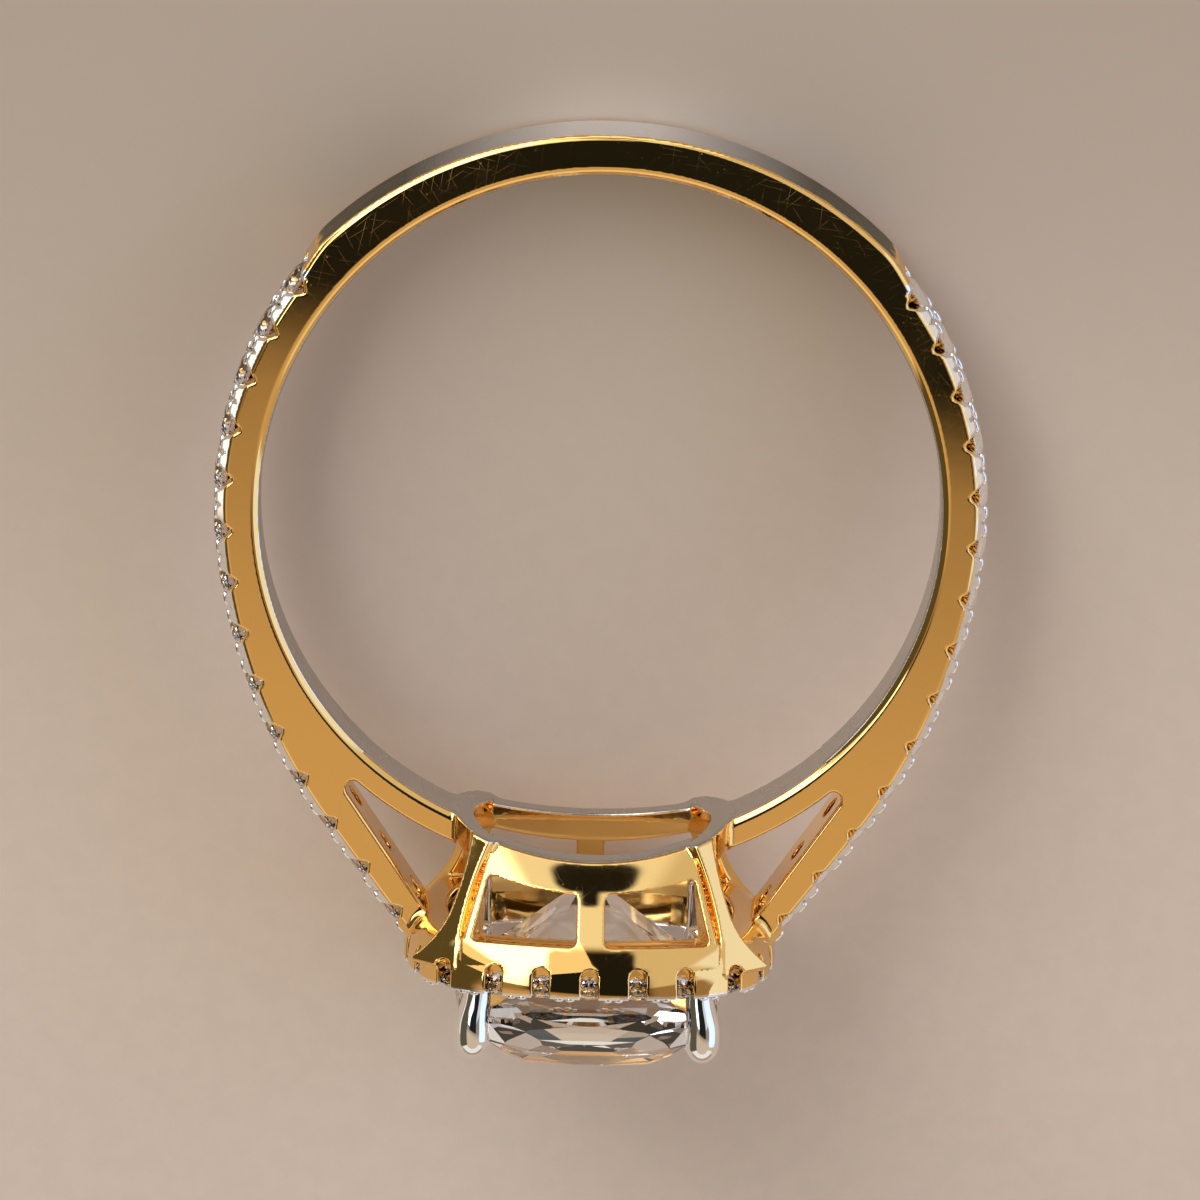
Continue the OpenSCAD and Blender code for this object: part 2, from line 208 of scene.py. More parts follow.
@dataclass(frozen=True)
class BandSizes:
    """Plain band, shoulders and strands, in millimetres and degrees from the band's middle."""

    bore_r: float = 8.65
    width: float = 2.2
    thick: float = 1.07
    end_rise: float = 0.22
    plain_half: float = 51.5
    set_thick: float = 1.12
    rise_from: float = 96.0
    straight_from: float = 142.0
    rise: float = 1.11
    foot_out: tuple[float, float] = (4.95, -10.9)
    foot_in: tuple[float, float] = (3.95, -10.85)
    inner_thick: float = 0.73
    slot_from: float = 139.1
    slot_tip_r: float = 0.17
    stones: int = 14
    pierced: int = 4
    gem_d: float = 1.2
    pitch: float = 1.365
    first: float = 54.4
    bevel: float = 0.12
    set_bevel: float = 0.24
    inner_bevel: float = 0.17
    inner_lean: float = 40.0
    notch_deep: float = 0.36
    notch_open: float = 34.0
    tick_deep: float = 0.15
    tick_open: float = 33.0
    groove_half: float = 0.66
    groove_end: float = 0.64
    groove_deep: float = 0.17
    seat_r: float = 0.62
    seat_top: float = 0.15
    hole_r: float = 0.3
    hole_deep: float = 1.25
    blend_before: float = 6.0
    blend_over: float = 8.0
    strand_end: float = 11.15
    set_below: float = 7.2

    @property
    def rate(self) -> float:
        """Rise for each square degree past the start of the rise."""
        return self.rise / (self.straight_from - self.rise_from) ** 2

    @property
    def straight_start(self) -> tuple[float, float]:
        """Point where the outer face turns straight."""
        r, a = self.bore_r + self.set_thick + self.rise, math.radians(self.straight_from)
        return (r * math.sin(a), r * math.cos(a))

    def outer_r(self, a: float) -> float:
        """Radius of the set face at an angle in degrees."""
        if a < self.straight_from:
            return self.bore_r + self.set_thick + self.rate * max(0.0, a - self.rise_from) ** 2
        (px, py), (qx, qy) = self.straight_start, self.foot_out
        sx, sy = math.sin(math.radians(a)), math.cos(math.radians(a))
        return (px * (qy - py) - py * (qx - px)) / (sx * (qy - py) - sy * (qx - px))

    def outer_at(self, a: float) -> tuple[float, float]:
        """Point of the set face at an angle in degrees."""
        r = self.outer_r(a)
        return (r * math.sin(math.radians(a)), r * math.cos(math.radians(a)))

    def set_places(self, half_steps: bool = False) -> list[tuple[float, float, float, float, float]]:
        """Places along the set face, one pitch after another.

        Args:
            half_steps: give the places between the stones in place of those of the stones.

        Returns:
            Angle, x, y and the outward direction's x and y of each place.
        """
        a, out = self.first, []
        for i in range(self.stones):
            p, q = self.outer_at(a - 0.5), self.outer_at(a + 0.5)
            step = math.dist(p, q)
            b = a + 0.5 * self.pitch / step if half_steps else a
            p, q = self.outer_at(b - 0.5), self.outer_at(b + 0.5)
            tx, ty = (q[0] - p[0]) / math.dist(p, q), (q[1] - p[1]) / math.dist(p, q)
            x, y = self.outer_at(b)
            out.append((b, x, y, -ty, tx))
            a += self.pitch / step
        return out


@dataclass(frozen=True)
class HeadSizes:
    """Basket and halo, in millimetres; heights are from the finger axis towards the stone."""

    half: float = 4.75
    line: float = 4.17
    side_r: float = 8.0
    corner_r: float = 1.88
    rim: float = 11.87
    under: float = 10.55
    stones: int = 24
    gem_d: float = 1.02
    notch_w: float = 0.42
    notch_deep: float = 0.76
    rail_l: float = 3.62
    rail_corner_l: float = 2.95
    rail_f: float = 2.95
    rail_w: float = 0.6
    rail_t: float = 0.77
    wall_f: float = 3.05
    wall_t: float = 0.55
    wall_bend: float = 2.2
    wall_top_l: float = 2.72
    wall_foot_l: float = 3.24
    post_w: float = 0.71
    post_top: tuple[float, float, float] = (2.72, 2.38, 8.2)
    post_foot: tuple[float, float, float] = (3.7, 3.55, 11.3)
    post_turn: float = 32.0
    window_half: float = 3.04
    window_lean: float = 0.28
    window_foot: float = 10.58
    groove_half: float = 0.44
    groove_deep: float = 0.17
    seat_r: float = 0.53
    seat_top: float = 0.15
    notch_from: float = 0.16
    post_half: float = 0.2
    post_deep: float = 0.19
    post_grow: float = 0.17
    post_lobe: float = 0.22

    @property
    def back(self) -> float:
        """How far behind the middle the bowed side's centre lies."""
        return self.side_r - self.line

    @property
    def corner_c(self) -> float:
        """Both coordinates of the corner arc's centre."""
        return (math.sqrt(2 * (self.side_r - self.corner_r) ** 2 - self.back ** 2) - self.back) / 2

    @property
    def side_turn(self) -> float:
        """Half turn of a bowed side, in radians."""
        return math.atan2(self.corner_c, self.corner_c + self.back)

    def place(self, run: float) -> tuple[float, float, float]:
        """Place on the stone line.

        Args:
            run: distance along the line from the middle of the far side.

        Returns:
            The place's two coordinates and the turn of its outward direction, in radians.
        """
        side = self.side_r * self.side_turn
        corner = self.corner_r * (math.pi / 2 - 2 * self.side_turn)
        quarter = 2 * side + corner
        turns, t = divmod(run + 1e-9, quarter)
        if t < side:
            w = t / self.side_r
            p = (self.side_r * math.sin(w), self.side_r * math.cos(w) - self.back)
        elif t < side + corner:
            w = self.side_turn + (t - side) / self.corner_r
            p = (self.corner_c + self.corner_r * math.sin(w), self.corner_c + self.corner_r * math.cos(w))
        else:
            w = math.pi / 2 - (quarter - t) / self.side_r
            p = (self.side_r * math.sin(w) - self.back, self.side_r * math.cos(w))
        turn = turns * math.pi / 2
        c, s = math.cos(-turn), math.sin(-turn)
        return (p[0] * c - p[1] * s, p[0] * s + p[1] * c, w + turn)

    @property
    def perimeter(self) -> float:
        """Length of the stone line."""
        side = self.side_r * self.side_turn
        return 4 * (2 * side + self.corner_r * (math.pi / 2 - 2 * self.side_turn))


# the metal as a distance


@dataclass(frozen=True)
class CastMetal:
    """The whole setting as one distance function."""

    band: BandSizes = field(default_factory=BandSizes)
    head: HeadSizes = field(default_factory=HeadSizes)

    def band_distance(self, x: Array, y: Array, z: Array) -> Array:
        """Distance to the band, the shoulders and both pairs of strands.

        Args:
            x: across the finger.
            y: towards the band's middle.
            z: along the finger.

        Returns:
            The distance, negative in metal.
        """
        b = self.band
        x = np.abs(x)
        r = np.hypot(x, y)
        a = np.degrees(np.arctan2(x, y))
        inside, outside = b.bore_r + b.thick, b.bore_r + b.thick + b.end_rise
        cos_end = math.cos(math.radians(b.plain_half))
        shift = (outside ** 2 - inside ** 2) / (2 * (inside - outside * cos_end))
        plain = np.hypot(x, y + shift) - (inside + shift)
        over = np.maximum(a - b.rise_from, 0.0)
        curved = r - (b.bore_r + b.set_thick + b.rate * over ** 2)
        slope = 2 * b.rate * over * (180 / math.pi) / np.maximum(r, 1.0)
        curved = curved / np.sqrt(1 + slope ** 2)
        straight = line_distance(x, y, b.foot_out, b.straight_start)
        pave = np.where(a < b.straight_from, curved, straight)
        share = np.clip((a - b.plain_half + b.blend_before) / b.blend_over, 0, 1)
        outer = plain + (pave - plain) * share * share * (3 - 2 * share)
        face = np.abs(z) - b.width / 2
        leg = np.where(a < b.plain_half + 1.0, b.bevel, b.set_bevel)
        d = round_meet(outer, face, 0.02)
        d = round_meet(d, (outer + face + leg) * DIAGONAL, 0.04)
        tip = np.array([math.sin(math.radians(b.slot_from)), math.cos(math.radians(b.slot_from))])
        tip_in = b.bore_r + b.inner_thick
        side = tip * (tip_in + 2 * b.slot_tip_r)
        tip_r = b.slot_tip_r * 0.98
        slot = round_meet(tip_in - r, line_distance(x, y, b.foot_in, side), tip_r)
        slot = round_meet(slot, y * tip[0] - x * tip[1], tip_r)
        d = round_cut(d, slot, 0.09)
        d = round_meet(d, -b.strand_end - y, 0.05)
        near = (y < b.set_below) & (r > b.bore_r + 0.05)
        if near.any():
            d[near] = self._cut_for_stones(d[near], pave[near], x[near], y[near], z[near], a[near])
        d = round_meet(d, b.bore_r - r, 0.03)
        lean = math.radians(b.inner_lean)
        inner = (b.bore_r + b.inner_bevel - r) * math.sin(lean) + face * math.cos(lean)
        return round_meet(d, inner, 0.05)

    def _cut_for_stones(self, d: Array, pave: Array, x: Array, y: Array, z: Array, a: Array) -> Array:
        """Groove, seats, side notches and pierced holes of the shoulders."""
        b = self.band
        places = np.array(b.set_places(), np.float32)
        mids = (places[1:, 0] + places[:-1, 0]) / 2
        i = np.searchsorted(mids, a)
        px, py, nx, ny = (places[i, k] for k in (1, 2, 3, 4))
        u = (x - px) * ny - (y - py) * nx
        v = (x - px) * nx + (y - py) * ny
        sides = np.maximum(np.abs(z) - b.groove_half, np.abs(u) - b.groove_end)
        d = round_cut(d, round_meet(sides, -b.groove_deep - pave, 0.05), 0.05)
        flat = np.hypot(u, z)
        cone = (flat - b.seat_r - SEAT_SLOPE * (v + b.seat_top)) * SEAT_COSINE
        d = round_cut(d, np.where(v > -b.seat_top, flat - b.seat_r, cone), 0.03)
        d = round_cut(d, vee(u, v, b.notch_deep, b.notch_open, 0.1), 0.06)
        tick = vee(np.abs(u) - b.pitch / 2, v, b.tick_deep, b.tick_open, 0.01)
        d = round_cut(d, np.where(a > b.first - 2.0, tick, FAR), 0.02)
        hole = np.maximum(flat - b.hole_r, -b.hole_deep - v)
        return round_cut(d, np.where(i >= b.stones - b.pierced, hole, FAR), 0.05)

    def halo_plan(self, l: Array, f: Array) -> Array:
        """Distance to the halo's stone line in plan, negative inside it."""
        h = self.head
        l, f = np.abs(l), np.abs(f)
        far, across = np.maximum(l, f), np.minimum(l, f)
        on_side = across * (h.corner_c + h.back) < (far + h.back) * h.corner_c
        bowed = np.hypot(across, far + h.back) - h.side_r
        corner = np.hypot(across - h.corner_c, far - h.corner_c) - h.corner_r
        return np.where(on_side, bowed, corner)

    def seen_from_stones(self, l: Array, f: Array) -> Iterator[tuple[Array, Array]]:
        """Points along and across the stone line, seen from each stone that can be the nearest.

        Each eighth of the halo is the same, so the points are folded into one, where four stones are near.

        Args:
            l: across the finger.
            f: along the finger.

        Yields:
            Distance along the line and outward from it, for one stone after another.
        """
        h = self.head
        l, f = np.abs(l), np.abs(f)
        far, across = np.maximum(l, f), np.minimum(l, f)
        pitch = h.perimeter / h.stones
        for k in range(4):
            px, py, w = h.place(k * pitch)
            c, s = math.cos(w), math.sin(w)
            yield (across - px) * c - (far - py) * s, (across - px) * s + (far - py) * c

    def halo_distance(self, l: Array, f: Array, up: Array) -> Array:
        """Distance to the halo's ring, with its groove and seats."""
        h = self.head
        plan = self.halo_plan(l, f)
        out = h.half - h.line
        under = np.hypot(np.maximum(plan + 0.05, 0.0) / 0.63, np.maximum(11.6 - up, 0.0) / 1.05) - 1.0
        d = round_meet(plan - out, h.under - up, 0.3)
        d = np.maximum(d, under * 0.55)
        d = round_meet(d, -out - plan, 0.12)
        d = round_meet(d, up - h.rim, 0.06)
        groove = round_meet(np.abs(plan) - h.groove_half, h.rim - h.groove_deep - up, 0.04)
        d = round_cut(d, groove, 0.04)
        top = h.rim - h.seat_top
        for u, v in self.seen_from_stones(l, f):
            flat = np.hypot(u, v) - h.seat_r
            seat = np.where(up < top, (flat + SEAT_SLOPE * (top - up)) * SEAT_COSINE, flat)
            d = round_cut(d, seat, 0.03)
        return d

    def halo_notches(self, l: Array, f: Array, up: Array) -> Array:
        """Distance to the arched notches in the halo's side, one at each stone."""
        h = self.head
        arch = h.rim - h.notch_deep + h.notch_w / 2
        found = np.full_like(l, FAR)
        for u, v in self.seen_from_stones(l, f):
            notch = np.where(up < arch, np.hypot(u, up - arch), np.abs(u)) - h.notch_w / 2
            found = np.minimum(found, round_meet(notch, h.notch_from - v, 0.05))
        return found

    def rail_plan(self, l: Array, f: Array) -> Array:
        """Distance to the rail's outline in plan, negative inside it."""
        h = self.head
        l, f = np.abs(l), np.abs(f)
        bow = (h.rail_l - h.rail_corner_l) / (h.rail_f - 0.45) ** 2
        side = (l - h.rail_l + bow * f * f) / np.sqrt(1 + (2 * bow * f) ** 2)
        front = (f - h.rail_f + l * l / 28.0) / np.sqrt(1 + (l / 14.0) ** 2)
        return round_meet(side, front, 0.6)

    def rail_distance(self, l: Array, f: Array, up: Array, r: Array) -> Array:
        """Distance to the finger-side rail."""
        h = self.head
        plan = self.rail_plan(l, f)
        ring = round_meet(plan, -h.rail_w - plan, 0.12)
        return round_meet(ring, np.maximum(r - self.band.bore_r - h.rail_t, -up), 0.14)

    def wall_face(self, l: Array, f: Array, up: Array) -> Array:
        """Distance to the flared outer face, which is bowed both ways, negative inside it."""
        h = self.head
        t = np.clip(up - self.band.bore_r - 0.12, -0.4, 3.0)
        bow = 14.0 - 2.45 * np.minimum(t, 2.4)
        past = np.maximum(t - h.wall_bend, 0.0)
        slope = 0.93 - 0.218 * t - 0.345 * past
        reach = h.wall_f + 0.93 * t - 0.109 * t * t - 0.1725 * past * past - l * l / (2 * bow)
        return (np.abs(f) - reach) / np.sqrt(1 + slope ** 2 + (l / bow) ** 2)

    def wall_end(self, l: Array, up: Array) -> Array:
        """Distance past the ends of the flared walls, which stand proud of the halo below the sill."""
        h = self.head
        share = np.clip((up - 8.9) / 1.7, -0.3, 1.0)
        step = np.clip((up - h.window_foot + 0.06) / 0.06, 0, 1)
        return np.abs(l) - h.wall_top_l - (h.wall_foot_l - h.wall_top_l) * share - 0.05 * step

    def wall_distance(self, l: Array, f: Array, up: Array) -> Array:
        """Distance to the two flared walls, pierced by their windows."""
        h = self.head
        l = np.abs(l)
        outer = self.wall_face(l, f, up)
        d = round_meet(outer, -h.wall_t - outer, 0.05)
        d = round_meet(d, self.wall_end(l, up), 0.05)
        d = np.maximum(d, up - h.rim + 0.6)
        r = np.hypot(l, up)
        draft = 0.15 + 0.45 * np.clip((up - 9.3) / 1.32, 0, 1)
        out_l = h.window_half - h.window_lean * (h.window_foot - up) + draft * np.clip(outer, -0.8, 0.1)
        window = round_meet(h.post_w / 2 - l, l - out_l, 0.05)
        ends = round_meet(up - h.window_foot, self.band.bore_r + h.rail_t - 0.02 - r, 0.1)
        window = round_meet(window, ends, 0.15)
        return round_cut(d, window, 0.045)

    def post_distance(self, l: Array, f: Array, up: Array) -> Array:
        """Distance to the four corner posts, bars with a flat outer face that widen at both ends."""
        h = self.head
        p, q = np.array(h.post_top), np.array(h.post_foot)
        length = float(np.linalg.norm(q - p))
        axis = (q - p) / length
        turn = math.radians(h.post_turn)
        out = np.array([math.sin(turn), math.cos(turn), 0.0])
        out = out - (out @ axis) * axis
        out = out / np.linalg.norm(out)
        along = np.cross(axis, out)
        away = (np.abs(l) - p[0], np.abs(f) - p[1], up - p[2])
        run, wide, deep = (sum(a * float(v) for a, v in zip(away, d)) for d in (axis, along, out))
        share = np.clip(run / length, 0, 1)
        grow = h.post_grow * (2 * share - 0.8) ** 2
        lobe = h.post_lobe * np.clip((share - 0.6) / 0.4, 0, 1) ** 2
        bar = round_meet(np.abs(wide + lobe) - h.post_half - grow - lobe, np.abs(deep) - h.post_deep, 0.08)
        return round_meet(bar, np.abs(run - length / 2) - length / 2 - 0.1, 0.1)

    def __call__(self, p: Array) -> Array:
        """Distance from points to the metal.

        Args:
            p: an (n, 3) array in the ring's axes.

        Returns:
            The distances, negative in metal.
        """
        x, y, z = (np.ascontiguousarray(p[:, k]) for k in range(3))
        d = self.band_distance(x, y, z)
        near = (y < -6.4) & (np.abs(x) < 6.2)
        if near.any():
            l, f, up = x[near], z[near], -y[near]
            r = np.hypot(l, up)
            rail = self.rail_distance(l, f, up, r)
            wall = self.wall_distance(l, f, up)
            post = self.post_distance(l, f, up)
            halo = self.halo_distance(l, f, up)
            front = np.minimum(self.wall_face(l, f, up), -self.wall_end(l, up))
            halo = np.maximum(halo, front)
            rail = np.maximum(rail, front)
            outside = np.minimum(halo, rail)
            head = np.minimum(round_join(outside, post, 0.1), wall)
            head = round_cut(head, self.halo_notches(l, f, up), 0.05)
            strands = round_cut(d[near], self.rail_plan(l, f) + self.head.rail_w - 0.1, 0.1)
            both = round_join(strands, head, 0.14)
            d[near] = round_meet(both, self.band.bore_r - r, 0.09)
        return d


# finding the skin


@dataclass
class Skin:
    """Points, faces and outward directions of a surface, in the ring's axes."""

    points: Array
    faces: Array
    normals: Array

    def part(self, keep: Array) -> "Skin":
        """The faces that are kept, with only their own points.

        Args:
            keep: one truth value for each face.

        Returns:
            The smaller skin.
        """
        faces = self.faces[keep]
        used, again = np.unique(faces, return_inverse=True)
        return Skin(self.points[used], again.reshape(faces.shape), self.normals[used])


@dataclass(frozen=True)
class SkinFinder:
    """Finds the skin of a solid that is given as a distance function."""

    solid: Callable[[Array], Array]
    low: tuple[float, float, float]
    high: tuple[float, float, float]
    step: float
    block: int = 8

    def _samples(self) -> Array:
        """Distances on the grid, worked out only in the blocks near the surface."""
        low, high = np.array(self.low), np.array(self.high)
        blocks = np.ceil((high - low) / (self.step * self.block)).astype(int)
        n = blocks * self.block + 1
        size = self.step * self.block
        index = np.stack(np.meshgrid(*[np.arange(k) for k in blocks], indexing="ij"), -1).reshape(-1, 3)
        centre = self.solid((low + (index + 0.5) * size).astype(np.float32))
        values = np.full(n, 1.0, np.float32)
        for i, j, k in index[centre < 0]:
            s = slice(i * self.block, (i + 1) * self.block + 1)
            t = slice(j * self.block, (j + 1) * self.block + 1)
            u = slice(k * self.block, (k + 1) * self.block + 1)
            values[s, t, u] = -1.0
        near = index[np.abs(centre) < size * 1.15]
        cube = np.stack(np.meshgrid(*[np.arange(self.block + 1)] * 3, indexing="ij"), -1).reshape(-1, 3)
        for start in range(0, len(near), 600):
            part = near[start:start + 600]
            grid = part[:, None, :] * self.block + cube[None]
            flat = grid.reshape(-1, 3)
            found = self.solid((low + flat * self.step).astype(np.float32))
            values[flat[:, 0], flat[:, 1], flat[:, 2]] = found
        return values

    def slope(self, p: Array) -> Array:
        """Steepest direction of the distance at each point."""
        e = 0.004
        out = np.empty_like(p)
        for k in range(3):
            step = np.zeros(3, p.dtype)
            step[k] = e
            out[:, k] = (self.solid(p + step) - self.solid(p - step)) / (2 * e)
        return out

    def find(self) -> Skin:
        """Find the skin.

        Returns:
            The skin, with its points drawn onto the true surface.
        """
        v = self._samples()
        inside = v < 0
        low = np.array(self.low)
        count = np.zeros(tuple(s - 1 for s in v.shape), np.uint8)
        corners = [(i, j, k) for i in (0, 1) for j in (0, 1) for k in (0, 1)]
        nx, ny, nz = count.shape
        for i, j, k in corners:
            count += inside[i:i + nx, j:j + ny, k:k + nz]
        cells = np.argwhere((count > 0) & (count < 8))
        del count
        number = np.full((nx, ny, nz), -1, np.int32)
        number[cells[:, 0], cells[:, 1], cells[:, 2]] = np.arange(len(cells))
        total = np.zeros((len(cells), 3))
        hits = np.zeros(len(cells))
        value = {c: v[cells[:, 0] + c[0], cells[:, 1] + c[1], cells[:, 2] + c[2]] for c in corners}
        for a in corners:
            for axis in range(3):
                if a[axis]:
                    continue
                b = tuple(1 if k == axis else a[k] for k in range(3))
                va, vb = value[a], value[b]
                cross = (va < 0) != (vb < 0)
                t = np.where(cross, va / np.where(cross, va - vb, 1.0), 0.0)
                place = np.zeros((len(cells), 3)) + np.array(a)
                place[:, axis] += t
                total += place * cross[:, None]
                hits += cross
        points = low + (cells + total / hits[:, None]) * self.step
        faces = []
        for axis in range(3):
            o1, o2 = (axis + 1) % 3, (axis + 2) % 3
            lo = [slice(1, -1)] * 3
            lo[axis] = slice(0, -1)
            hi = [slice(1, -1)] * 3
            hi[axis] = slice(1, None)
            one, two = inside[tuple(lo)], inside[tuple(hi)]
            at = np.argwhere(one != two)
            leaving = one[at[:, 0], at[:, 1], at[:, 2]]
            at[:, o1] += 1
            at[:, o2] += 1
            ring = []
            for s1, s2 in ((1, 1), (0, 1), (0, 0), (1, 0)):
                c = at.copy()
                c[:, o1] -= s1
                c[:, o2] -= s2
                ring.append(number[c[:, 0], c[:, 1], c[:, 2]])
            quad = np.stack(ring, 1)
            quad[~leaving] = quad[~leaving][:, ::-1]
            faces.append(quad)
        quads = np.vstack(faces)
        quads = quads[(quads >= 0).all(axis=1)]
        start = points.copy()
        for _ in range(3):
            p32 = points.astype(np.float32)
            g = self.slope(p32)
            d = self.solid(p32)
            move = (d / np.maximum((g * g).sum(1), 0.2))[:, None] * g
            points = points - move
            away = points - start
            far = np.linalg.norm(away, axis=1)[:, None]
            points = start + away * np.minimum(1.0, 0.9 * self.step / np.maximum(far, 1e-9))
        g = self.slope(points.astype(np.float32))
        normals = g / np.maximum(np.linalg.norm(g, axis=1), 1e-6)[:, None]
        return Skin(points, quads, normals)


# meshes


def make_piece(name: str, points: Array, faces: Sequence, material: bpy.types.Material,
               normals: Optional[Array] = None, smooth: bool = True,
               marks: Optional[dict[str, Array]] = None) -> bpy.types.Object:
    """Make a mesh object in the frame.

    Args:
        name: the piece's name.
        points: its points in metres.
        faces: its faces, as an array of equal rows or a list of rows.
        material: its finish.
        normals: directions for smooth shading, one for each point.
        smooth: shade the faces smoothly.
        marks: further values for each point, by attribute name.

    Returns:
        The new object.
    """
    mesh = bpy.data.meshes.new(name)
    sizes = np.array([len(f) for f in faces], np.int32)
    loops = np.concatenate([np.asarray(f) for f in faces]).astype(np.int32) if not isinstance(
        faces, np.ndarray) else faces.reshape(-1).astype(np.int32)
    mesh.vertices.add(len(points))
    mesh.vertices.foreach_set("co", np.asarray(points, np.float32).reshape(-1))
    mesh.loops.add(len(loops))
    mesh.loops.foreach_set("vertex_index", loops)
    mesh.polygons.add(len(sizes))
    mesh.polygons.foreach_set("loop_start", np.concatenate([[0], np.cumsum(sizes)[:-1]]).astype(np.int32))
    mesh.polygons.foreach_set("use_smooth", np.full(len(sizes), smooth))
    mesh.update(calc_edges=True)
    mesh.validate()
    for key, values in (marks or {}).items():
        layer = mesh.attributes.new(key, "FLOAT", "POINT")
        layer.data.foreach_set("value", values.astype(np.float32))
    if normals is not None:
        mesh.normals_split_custom_set_from_vertices(np.asarray(normals, float).tolist())
    mesh.materials.append(material)
    piece = bpy.data.objects.new(name, mesh)
    bpy.context.scene.collection.objects.link(piece)
    return piece


def settle(piece: bpy.types.Object, node: str) -> bpy.types.Object:
    """Let a piece ride with the ring in the place of a CAD node.

    Args:
        piece: the piece.
        node: the CAD node it stands for.

    Returns:
        The same piece.
    """
    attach(piece, "root")
    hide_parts(node)
    log.info("%s: %d faces", piece.name, len(piece.data.polygons))
    return piece


@dataclass
class Mould:
    """Collects small closed forms into one mesh, in the ring's axes."""

    points: list = field(default_factory=list)
    faces: list = field(default_factory=list)

    def add(self, points: Array, faces: Sequence[Sequence[int]]) -> None:
        """Add one form."""
        start = sum(len(p) for p in self.points)
        self.points.append(np.asarray(points, float))
        self.faces.extend([[i + start for i in f] for f in faces])

    def piece(self, name: str, lying: Lying, material: bpy.types.Material, smooth: bool) -> bpy.types.Object:
        """Turn what was collected into a piece."""
        return make_piece(name, lying.points(np.vstack(self.points)), self.faces, material, smooth=smooth)


def bead(centre: Array, axes: Array, sizes: Sequence[float], around: int = 14,
         rows: int = 8) -> tuple[Array, list]:
    """A rounded bead of metal.

    Args:
        centre: its middle.
        axes: three unit directions, as rows.
        sizes: half sizes along them.
        around: points in a row.
        rows: rows from pole to pole.

    Returns:
        Points and faces.
    """
    points = [np.array([0.0, 0.0, -1.0])]
    for j in range(1, rows):
        t = -math.pi / 2 + math.pi * j / rows
        for i in range(around):
            w = 2 * math.pi * i / around
            points.append(np.array([math.cos(t) * math.cos(w), math.cos(t) * math.sin(w), math.sin(t)]))
    points.append(np.array([0.0, 0.0, 1.0]))
    p = np.array(points)
    p = np.sign(p) * np.abs(p) ** 0.85
    faces: list[list[int]] = [[0, 1 + (i + 1) % around, 1 + i] for i in range(around)]
    for j in range(rows - 2):
        a, b = 1 + j * around, 1 + (j + 1) * around
        faces += [[a + i, a + (i + 1) % around, b + (i + 1) % around, b + i] for i in range(around)]
    last, a = len(points) - 1, 1 + (rows - 2) * around
    faces += [[last, a + i, a + (i + 1) % around] for i in range(around)]
    return np.asarray(centre) + (p * np.asarray(sizes)) @ np.asarray(axes), faces


# cut stones


@dataclass(frozen=True)
class Row:
    """One row of facets of equal slope."""

    turns: Sequence[float]
    slope: float
    inset: float
    height: float


@dataclass(frozen=True)
class Cut:
    """A stone cut by planes; heights are in millimetres from the girdle's upper edge."""

    half: float
    power: float
    girdle: float
    table: float
    sides: int
    crown: Sequence[Row]
    pavilion: Sequence[Row]

    def reach(self, w: float) -> float:
        """Distance from the middle to the outline's tangent in a direction.

        Args:
            w: direction in radians.

        Returns:
            The distance.
        """
        q = self.power / (self.power - 1)
        return self.half * (abs(math.cos(w)) ** q + abs(math.sin(w)) ** q) ** (1 / q)

    def planes(self) -> list[tuple[Vector, float]]:
        """Outward directions and distances of every facet."""
        out = [(Vector((0, 0, 1)), self.table)]
        for k in range(self.sides):
            w = 2 * math.pi * (k + 0.5) / self.sides
            out.append((Vector((math.cos(w), math.sin(w), 0)), self.reach(w)))
        for rows, sign in ((self.crown, 1), (self.pavilion, -1)):
            for row in rows:
                t = math.radians(row.slope)
                for turn in row.turns:
                    w = math.radians(turn)
                    r = self.reach(w) - row.inset
                    n = Vector((math.cos(w) * math.sin(t), math.sin(w) * math.sin(t), sign * math.cos(t)))
                    out.append((n, r * math.sin(t) + sign * row.height * math.cos(t)))
        return out

    def facets(self) -> tuple[Array, list]:
        """The stone's points and facets, found by cutting a block with each plane in turn."""
        bm = bmesh.new()
        bmesh.ops.create_cube(bm, size=6.0 * self.half)
        for n, d in self.planes():
            everything = bm.verts[:] + bm.edges[:] + bm.faces[:]
            cut = bmesh.ops.bisect_plane(bm, geom=everything, dist=1e-6, plane_co=n * d, plane_no=n,
                                         clear_outer=True)
            edges = [e for e in cut["geom_cut"] if isinstance(e, bmesh.types.BMEdge)]
            bmesh.ops.holes_fill(bm, edges=edges, sides=0)
        bmesh.ops.remove_doubles(bm, verts=bm.verts[:], dist=0.0015 * self.half)
        bmesh.ops.recalc_face_normals(bm, faces=bm.faces[:])
        bm.verts.ensure_lookup_table()
        points = np.array([v.co[:] for v in bm.verts])
        faces = [[v.index for v in f.verts] for f in bm.faces]
        bm.free()
        return points, faces


def spread(start: float, step: float) -> list[float]:
    """Turns in degrees from a start, one step after another, all the way round."""
    return [start + step * k for k in range(round(360 / step))]


def round_brilliant(half: float) -> Cut:
    """A small round brilliant.

    Args:
        half: its radius in millimetres.

    Returns:
        The cut.
    """
    crown = [Row(spread(0, 45), 34, 0.0, 0.02 * half), Row(spread(22.5, 45), 23, 0.19 * half, 0.15 * half),
             Row(spread(11.25, 22.5), 40, 0.0, 0.0)]
    pavilion = [Row(spread(0, 45), 41, 0.0, -0.06 * half), Row(spread(11.25, 22.5), 42.5, 0.0, -0.06 * half)]
    return Cut(half, 2.0, 0.06 * half, 0.3 * half, 32, crown, pavilion)


